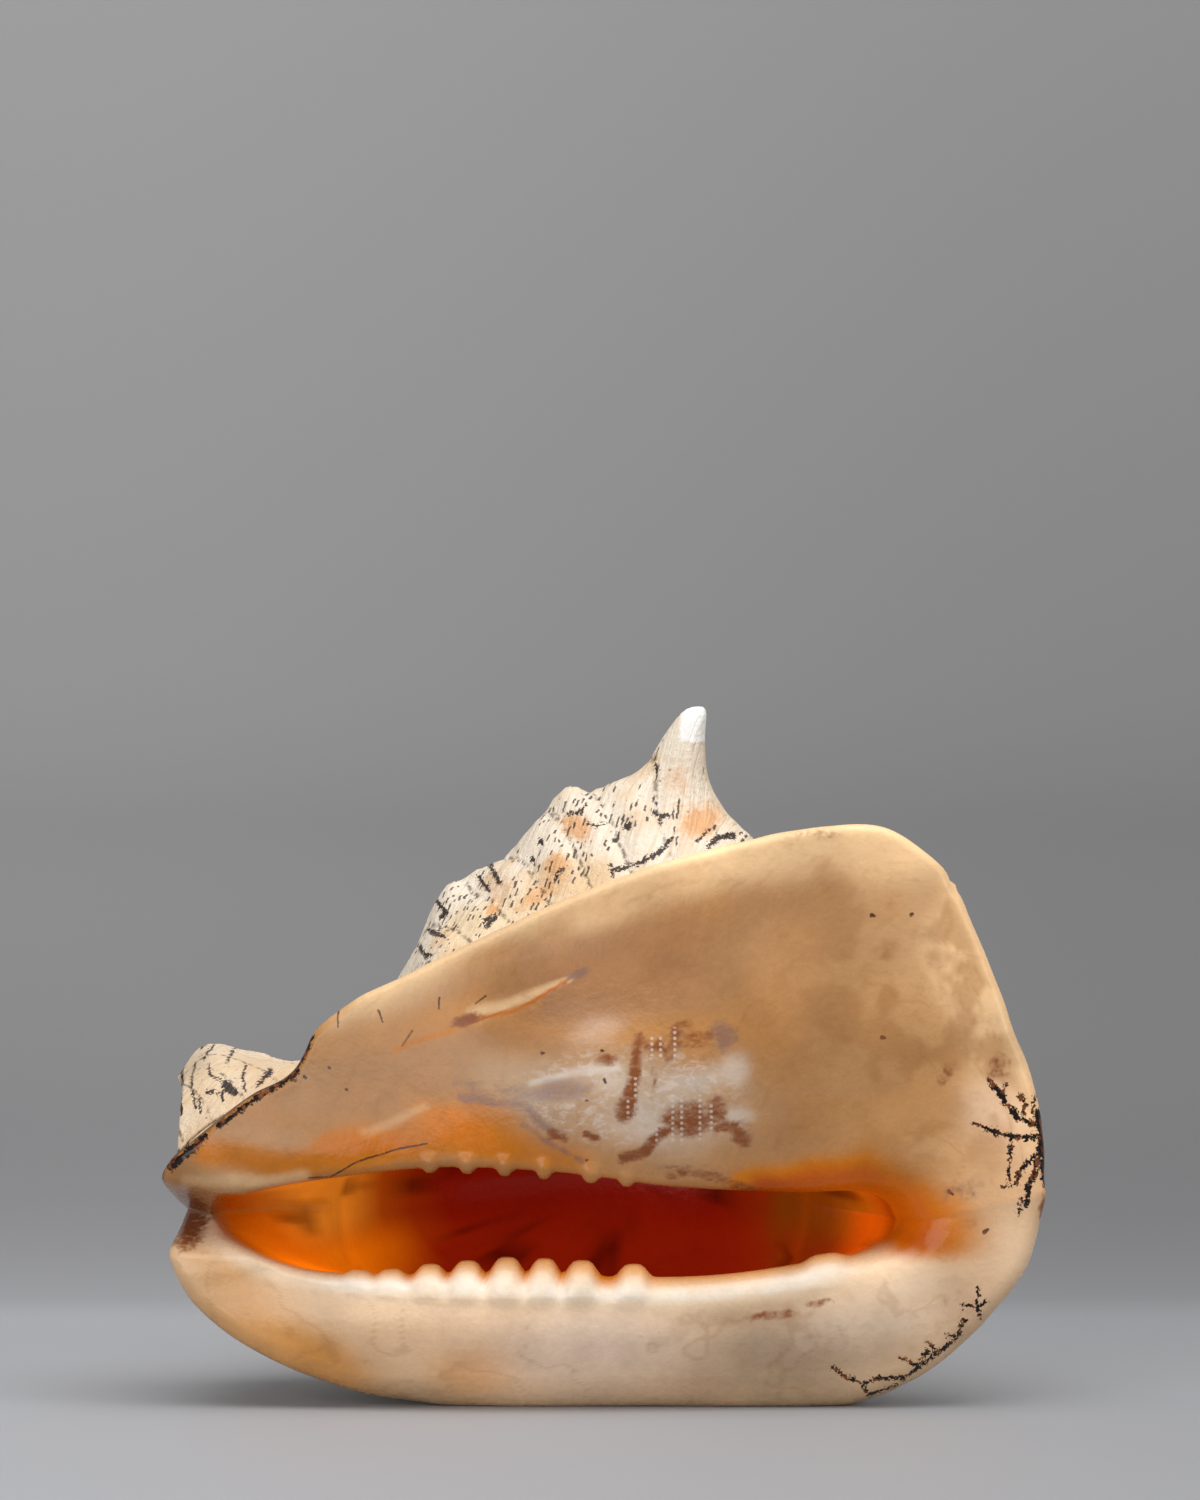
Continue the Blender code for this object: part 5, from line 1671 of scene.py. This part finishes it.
@dataclass
class Shell:
    """The whole skin as one piece, glazed in front and coated behind."""

    mouth: Mouth = field(default_factory=Mouth)
    whorl: Whorl = field(default_factory=Whorl)
    spire: Spire = field(default_factory=Spire)
    wash: Wash = field(default_factory=Wash)
    marks: Marks = field(default_factory=Marks)
    behind_rings: int = 6
    name: str = "shell_skin"

    def build(self, effects: Effects) -> bpy.types.Object:
        """Build the skin, write its attributes and dress it.

        Args:
            effects: The shared node groups.

        Returns:
            The finished piece.
        """
        front, traits = self.mouth.build()
        stations = self.mouth.stations(self.mouth.rim_upper, self.mouth.edge_upper)
        rows, coat = self.whorl.build(stations)
        tip, tip_coat = self.spire.build(rows[-1][:-1], coat[-1][:-1])
        steps, columns = self.mouth.side_steps, self.whorl.back_steps
        join = np.vstack([rows[:-1, 0], rows[-1:, 0], rows[-2:0:-1, -1]])
        join_coat = np.vstack([coat[:-1, 0], coat[-1:, 0], coat[-2:0:-1, -1]])
        last = front[-1]
        shares = np.linspace(0, 1, self.behind_rings + 1)[1:]
        behind = last[None] + (join - last)[None] * shares[:, None, None]
        count = last.shape[0]
        grid = np.concatenate([front, behind])
        points = [np.array([self.mouth.hollow_end]), grid.reshape(-1, 3), rows[1:, 1:-1].reshape(-1, 3)]
        points += [tip.reshape(-1, 3), np.array([self.spire.apex])]
        ring = 1 + np.arange(len(grid) * count).reshape(len(grid), count)
        mesh_rows = np.zeros((steps + 1, columns + 1), int)
        first_free = 1 + len(grid) * count
        mesh_rows[1:, 1:-1] = first_free + np.arange(steps * (columns - 1)).reshape(steps, columns - 1)
        joined = ring[-1]
        mesh_rows[:, 0] = joined[: steps + 1]
        mesh_rows[0, :] = joined[0]
        mesh_rows[1:steps, -1] = joined[:steps:-1]
        mesh_rows[steps, -1] = joined[steps]
        first_tip = first_free + steps * (columns - 1)
        tips = first_tip + np.arange(len(tip) * columns).reshape(len(tip), columns)
        apex = first_tip + len(tip) * columns
        closed = np.concatenate([ring, ring[:, :1]], axis=1)
        spire_grid = np.concatenate([mesh_rows[-1:, :-1], tips, np.full((1, columns), apex)])
        spire_grid = np.concatenate([spire_grid, spire_grid[:, :1]], axis=1)
        bottom = np.concatenate([np.zeros((1, count + 1), int), closed[:1]])
        cut = len(front) + 1
        glazed = np.concatenate([self.triangles(bottom), self.triangles(closed[:cut])])
        coated = [self.triangles(closed[cut - 1:]), self.triangles(mesh_rows), self.triangles(spire_grid)]
        coated = np.concatenate(coated)
        faces = np.concatenate([glazed, coated])
        corners = np.concatenate(points)
        corners[:, 2] = np.maximum(corners[:, 2], 0.0)
        first, second, third = (corners[faces[:, k]] for k in range(3))
        if np.einsum("ij,ij->", first, np.cross(second, third)) < 0:
            faces = faces[:, ::-1]
        piece = self.write(corners, faces, self.zones(corners[faces].mean(axis=1), len(glazed)))
        self.write_attributes(piece.data, grid, traits, rows, coat, join_coat, tip, tip_coat)
        finishes: dict[Zone, Glaze | Coat] = {
            Zone.PLAIN: Glaze(),
            Zone.WINDOW: Glaze("glaze of the window", cracks=WINDOW_PITS, beaded=True),
            Zone.LOBE: Glaze("glaze of the lobe", LOBE_STAINS, LOBE_CRACKS, grimy=True),
            Zone.SPIRE_END: Glaze("glaze of the spire end", SPIRE_END_STAINS, SPIRE_END_PITS),
            Zone.WHORL: Coat(),
            Zone.WHORL_FRONT: Coat("whorl coat in front", WHORL_STAINS),
            Zone.SNOUT: Coat("whorl coat of the snout", SNOUT_STAINS),
        }
        for zone in Zone:
            piece.data.materials.append(finishes[zone].build(effects))
        return piece

    @staticmethod
    def zones(middles: Array, glazed: int) -> Array:
        """Say which finish each triangle takes.

        Args:
            middles: The middle of each triangle.
            glazed: How many of the first triangles are glazed.

        Returns:
            The number of the zone for each triangle.
        """
        x, y, z = middles.T
        glaze = np.arange(len(middles)) < glazed
        front = glaze & (y < 20)
        found = np.where(glaze, Zone.PLAIN.value, Zone.WHORL.value)
        found[front & (z > 58) & (x < -28)] = Zone.LOBE.value
        found[front & (np.abs(x - 1) < 49) & (z > 58) & (z < 112)] = Zone.WINDOW.value
        found[front & (x > 60)] = Zone.SPIRE_END.value
        found[~glaze & (y < 60) & (x < 48) & (z > 72)] = Zone.WHORL_FRONT.value
        found[~glaze & (y < 60) & (x < -80)] = Zone.SNOUT.value
        return found

    @staticmethod
    def triangles(grid: Array) -> Array:
        """Cut a grid of vertex numbers into triangles, leaving out those that have shrunk to a line."""
        a, b, c, d = grid[:-1, :-1], grid[:-1, 1:], grid[1:, 1:], grid[1:, :-1]
        made = np.concatenate([np.stack(three, -1).reshape(-1, 3) for three in ((a, b, c), (a, c, d))])
        whole = (made[:, 0] != made[:, 1]) & (made[:, 1] != made[:, 2]) & (made[:, 0] != made[:, 2])
        return made[whole]

    def write(self, corners: Array, faces: Array, zones: Array) -> bpy.types.Object:
        """Write the mesh in metres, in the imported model's frame.

        Args:
            corners: The vertices in millimetres.
            faces: The triangles.
            zones: The zone of each triangle.

        Returns:
            The object, which sits at the origin.
        """
        mesh = bpy.data.meshes.new(self.name)
        mesh.vertices.add(len(corners))
        mesh.vertices.foreach_set("co", ((corners + TO_FRAME) * MM).astype(np.float32).ravel())
        mesh.loops.add(faces.size)
        mesh.loops.foreach_set("vertex_index", faces.astype(np.int32).ravel())
        mesh.polygons.add(len(faces))
        mesh.polygons.foreach_set("loop_start", np.arange(0, faces.size, 3, dtype=np.int32))
        mesh.polygons.foreach_set("material_index", zones.astype(np.int32))
        mesh.polygons.foreach_set("use_smooth", np.ones(len(faces), bool))
        mesh.update(calc_edges=True)
        mesh.validate()
        return new_object(self.name, mesh)

    def write_attributes(
        self, mesh: bpy.types.Mesh, grid: Array, traits: Array, rows: Array,
        coat: Array, join_coat: Array, tip: Array, tip_coat: Array,
    ) -> None:
        """Write what the finishes read: the wash, the stains, the traits and the place on the coat.

        Args:
            mesh: The mesh.
            grid: The rings of the front and behind it.
            traits: The traits of the front's rings.
            rows: The rows of the whorl.
            coat: The place on the coat of each row's points.
            join_coat: The same where the whorl meets the shield and the lip.
            tip: The rings of the spire.
            tip_coat: Their place on the coat.
        """
        extra = len(grid) - len(traits)
        full = np.concatenate([traits, np.repeat(traits[-1:], extra, axis=0)])
        paint = self.wash.paint(grid, full)
        light = self.wash.glow(grid, full)
        stains = self.marks.cover(grid[..., 0], grid[..., 2], (full[..., 1] > 0).astype(float))
        body = rows[1:, 1:-1]
        body_stains = self.marks.cover(body[..., 0], body[..., 2], (body[..., 1] < 62.0).astype(float), True)
        skin = np.broadcast_to(join_coat, grid.shape)
        spire = tip_coat.shape[0] * tip_coat.shape[1] + 1
        rest = body.shape[0] * body.shape[1] + spire

        def flat(rings: Array, tail: Array) -> Array:
            """Lay the hollow's bottom, the rings and all that follows in the order of the vertices."""
            parts = [rings[0, :1], rings.reshape(-1, rings.shape[-1]), tail]
            return np.concatenate(parts).astype(np.float32)

        def opaque(colour: Array) -> Array:
            """Add a fourth channel of ones."""
            return np.concatenate([colour, np.ones((*colour.shape[:2], 1))], axis=2)

        coat_tail = np.concatenate([coat[1:, 1:-1].reshape(-1, 3), tip_coat.reshape(-1, 3), tip_coat[-1, :1]])
        stain_tail = np.concatenate([body_stains.reshape(-1, 4), np.zeros((spire, 4))])
        paint, light = opaque(paint), opaque(light)
        cut = len(traits)
        paint[cut:] = self.wash.coat_paint(grid[cut:])
        apex = np.array([self.spire.apex])
        others = np.concatenate([body.reshape(-1, 3), tip.reshape(-1, 3), apex])
        self.attribute(mesh, "wash", "FLOAT_COLOR", flat(paint, self.wash.coat_paint(others)))
        self.attribute(mesh, "glow", "FLOAT_COLOR", flat(light, np.zeros((rest, 4))))
        self.attribute(mesh, "stains", "FLOAT_COLOR", flat(stains, stain_tail))
        self.attribute(mesh, "traits", "FLOAT_VECTOR", flat(full, np.zeros((rest, 3))))
        self.attribute(mesh, "coat", "FLOAT_VECTOR", flat(skin, coat_tail))

    @staticmethod
    def attribute(mesh: bpy.types.Mesh, name: str, kind: str, values: Array) -> None:
        """Write one attribute of the vertices."""
        made = mesh.attributes.new(name, kind, "POINT")
        made.data.foreach_set("color" if kind == "FLOAT_COLOR" else "vector", values.ravel())


@dataclass
class Studio:
    """The grey paper sweep, the soft lights and the camera."""

    sweep_half_width: float = 8.0
    floor_front: float = -8.0
    wall_at: float = 0.40
    bend: float = 0.16
    wall_height: float = 2.6
    camera_at: tuple[float, float, float] = (-0.0012, -1.672, 0.185)
    lens: float = 136.7
    # Greys of the paper with painted light and shade: the floor paler than the wall and the bend darker than
    # both.
    wall_grey: Colour = srgb(146, 145, 145)
    bend_shade_grey: Colour = srgb(114, 113, 114)
    floor_grey: Colour = srgb(170, 171, 174)
    room_grey: Colour = srgb(200, 202, 206)

    def build(self) -> None:
        """Build everything round the shell."""
        self.build_sweep()
        self.build_light("overhead", (0.1, -0.3, 1.35), (0.0, -0.02, 0.05), (1.5, 1.2), 18.5)
        self.build_light("front", (-0.9, -1.9, 0.75), (0.0, 0.0, 0.08), (1.6, 1.2), 18.0)
        self.build_light("side", (1.5, -0.6, 0.7), (0.0, 0.0, 0.1), (0.8, 0.9), 6.0)
        world = bpy.data.worlds.new("room")
        world.use_nodes = True
        background = world.node_tree.nodes["Background"]
        Wiring(world.node_tree).feed(background, Color=self.room_grey, Strength=0.38)
        bpy.context.scene.world = world
        bpy.context.scene.view_settings.view_transform = "Standard"
        self.build_camera()

    def build_sweep(self) -> None:
        """Build the floor that bends up into a wall behind the shell.

        The profile runs straight along the floor, round a quarter circle and straight up. Its back is
        clear, so that the shell shows from behind too.
        """
        turn = np.linspace(0, QUARTER, 33)
        y = self.wall_at - self.bend + self.bend * np.sin(turn)
        z = self.bend - self.bend * np.cos(turn)
        y = np.concatenate([[self.floor_front], y, [self.wall_at]])
        z = np.concatenate([[0.0], z, [self.wall_height]])
        left = np.column_stack([np.full(len(y), -self.sweep_half_width), y, z])
        right = left * (-1, 1, 1)
        mesh = bpy.data.meshes.new("sweep")
        n = len(y)
        faces = [(k, n + k, n + k + 1, k + 1) for k in range(n - 1)]
        mesh.from_pydata(np.vstack([left, right]).tolist(), [], faces)
        mesh.polygons.foreach_set("use_smooth", np.ones(n - 1, bool))
        mesh.materials.append(self.paper())
        new_object("sweep", mesh)

    def paper(self) -> bpy.types.Material:
        """Build the sweep's matt paper, clear from behind, with painted light and shade: pale on the floor,
        darker on the wall, darker still at the bend and darker towards the right.
        """
        material, wires, shader = new_material("paper")
        x, y, z = wires.split(wires.node("ShaderNodeTexCoord").outputs["Object"])
        # Painted light and shade: the pale floor turns darker at the bend, then to the wall's grey.
        bend = wires.mix(wires.step(y, 0.17, self.wall_at - 0.02), self.floor_grey, self.bend_shade_grey)
        colour = wires.mix(wires.step(z, 0.03, 0.22), bend, self.wall_grey)
        # Painted shade: the paper darkens towards the right.
        shade = wires.step(x, -0.25, 0.25, 1.0, 0.78)
        colour = wires.mix(1.0, colour, wires.join(shade, shade, shade), "MULTIPLY")
        wires.plug(shader.inputs["Base Color"], colour)
        shader.inputs["Roughness"].default_value = 0.6
        clear = wires.node("ShaderNodeBsdfTransparent")
        either = wires.node("ShaderNodeMixShader")
        wires.plug(either.inputs[0], wires.node("ShaderNodeNewGeometry").outputs["Backfacing"])
        wires.tree.links.new(shader.outputs[0], either.inputs[1])
        wires.tree.links.new(clear.outputs[0], either.inputs[2])
        wires.tree.links.new(either.outputs[0], material.node_tree.nodes["Material Output"].inputs["Surface"])
        return material

    def build_light(self, name: str, at: Row, to: Row, size: Row, power: float) -> None:
        """Build one soft rectangular light.

        Args:
            name: The light's name.
            at: Where it hangs.
            to: What it points at.
            size: Its width and height.
            power: Its power in watts.
        """
        lamp = bpy.data.lights.new(name, "AREA")
        lamp.shape = "RECTANGLE"
        lamp.size, lamp.size_y = size
        lamp.energy = power
        made = new_object(name, lamp)
        made.location = at
        made.rotation_euler = (Vector(to) - Vector(at)).to_track_quat("-Z", "Y").to_euler()

    def build_camera(self) -> None:
        """Build the level camera in front of the mouth."""
        lens = bpy.data.cameras.new("camera")
        lens.lens = self.lens
        lens.sensor_width = 36.0
        lens.clip_start, lens.clip_end = 0.05, 30.0
        made = new_object("camera", lens)
        made.location = self.camera_at
        made.rotation_euler = (QUARTER, 0.0, 0.0)
        bpy.context.scene.camera = made


def main() -> None:
    """Load the frame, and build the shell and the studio."""
    logging.basicConfig(level=logging.INFO, format="%(message)s")
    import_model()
    Studio().build()
    LOG.info("studio: sweep, lights and camera")
    effects = Effects()
    effects.build()
    skin = Shell().build(effects)
    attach(skin, "root")
    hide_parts("shell")
    LOG.info("%s: %d triangles", skin.name, len(skin.data.polygons))


if __name__ == "__main__":
    main()
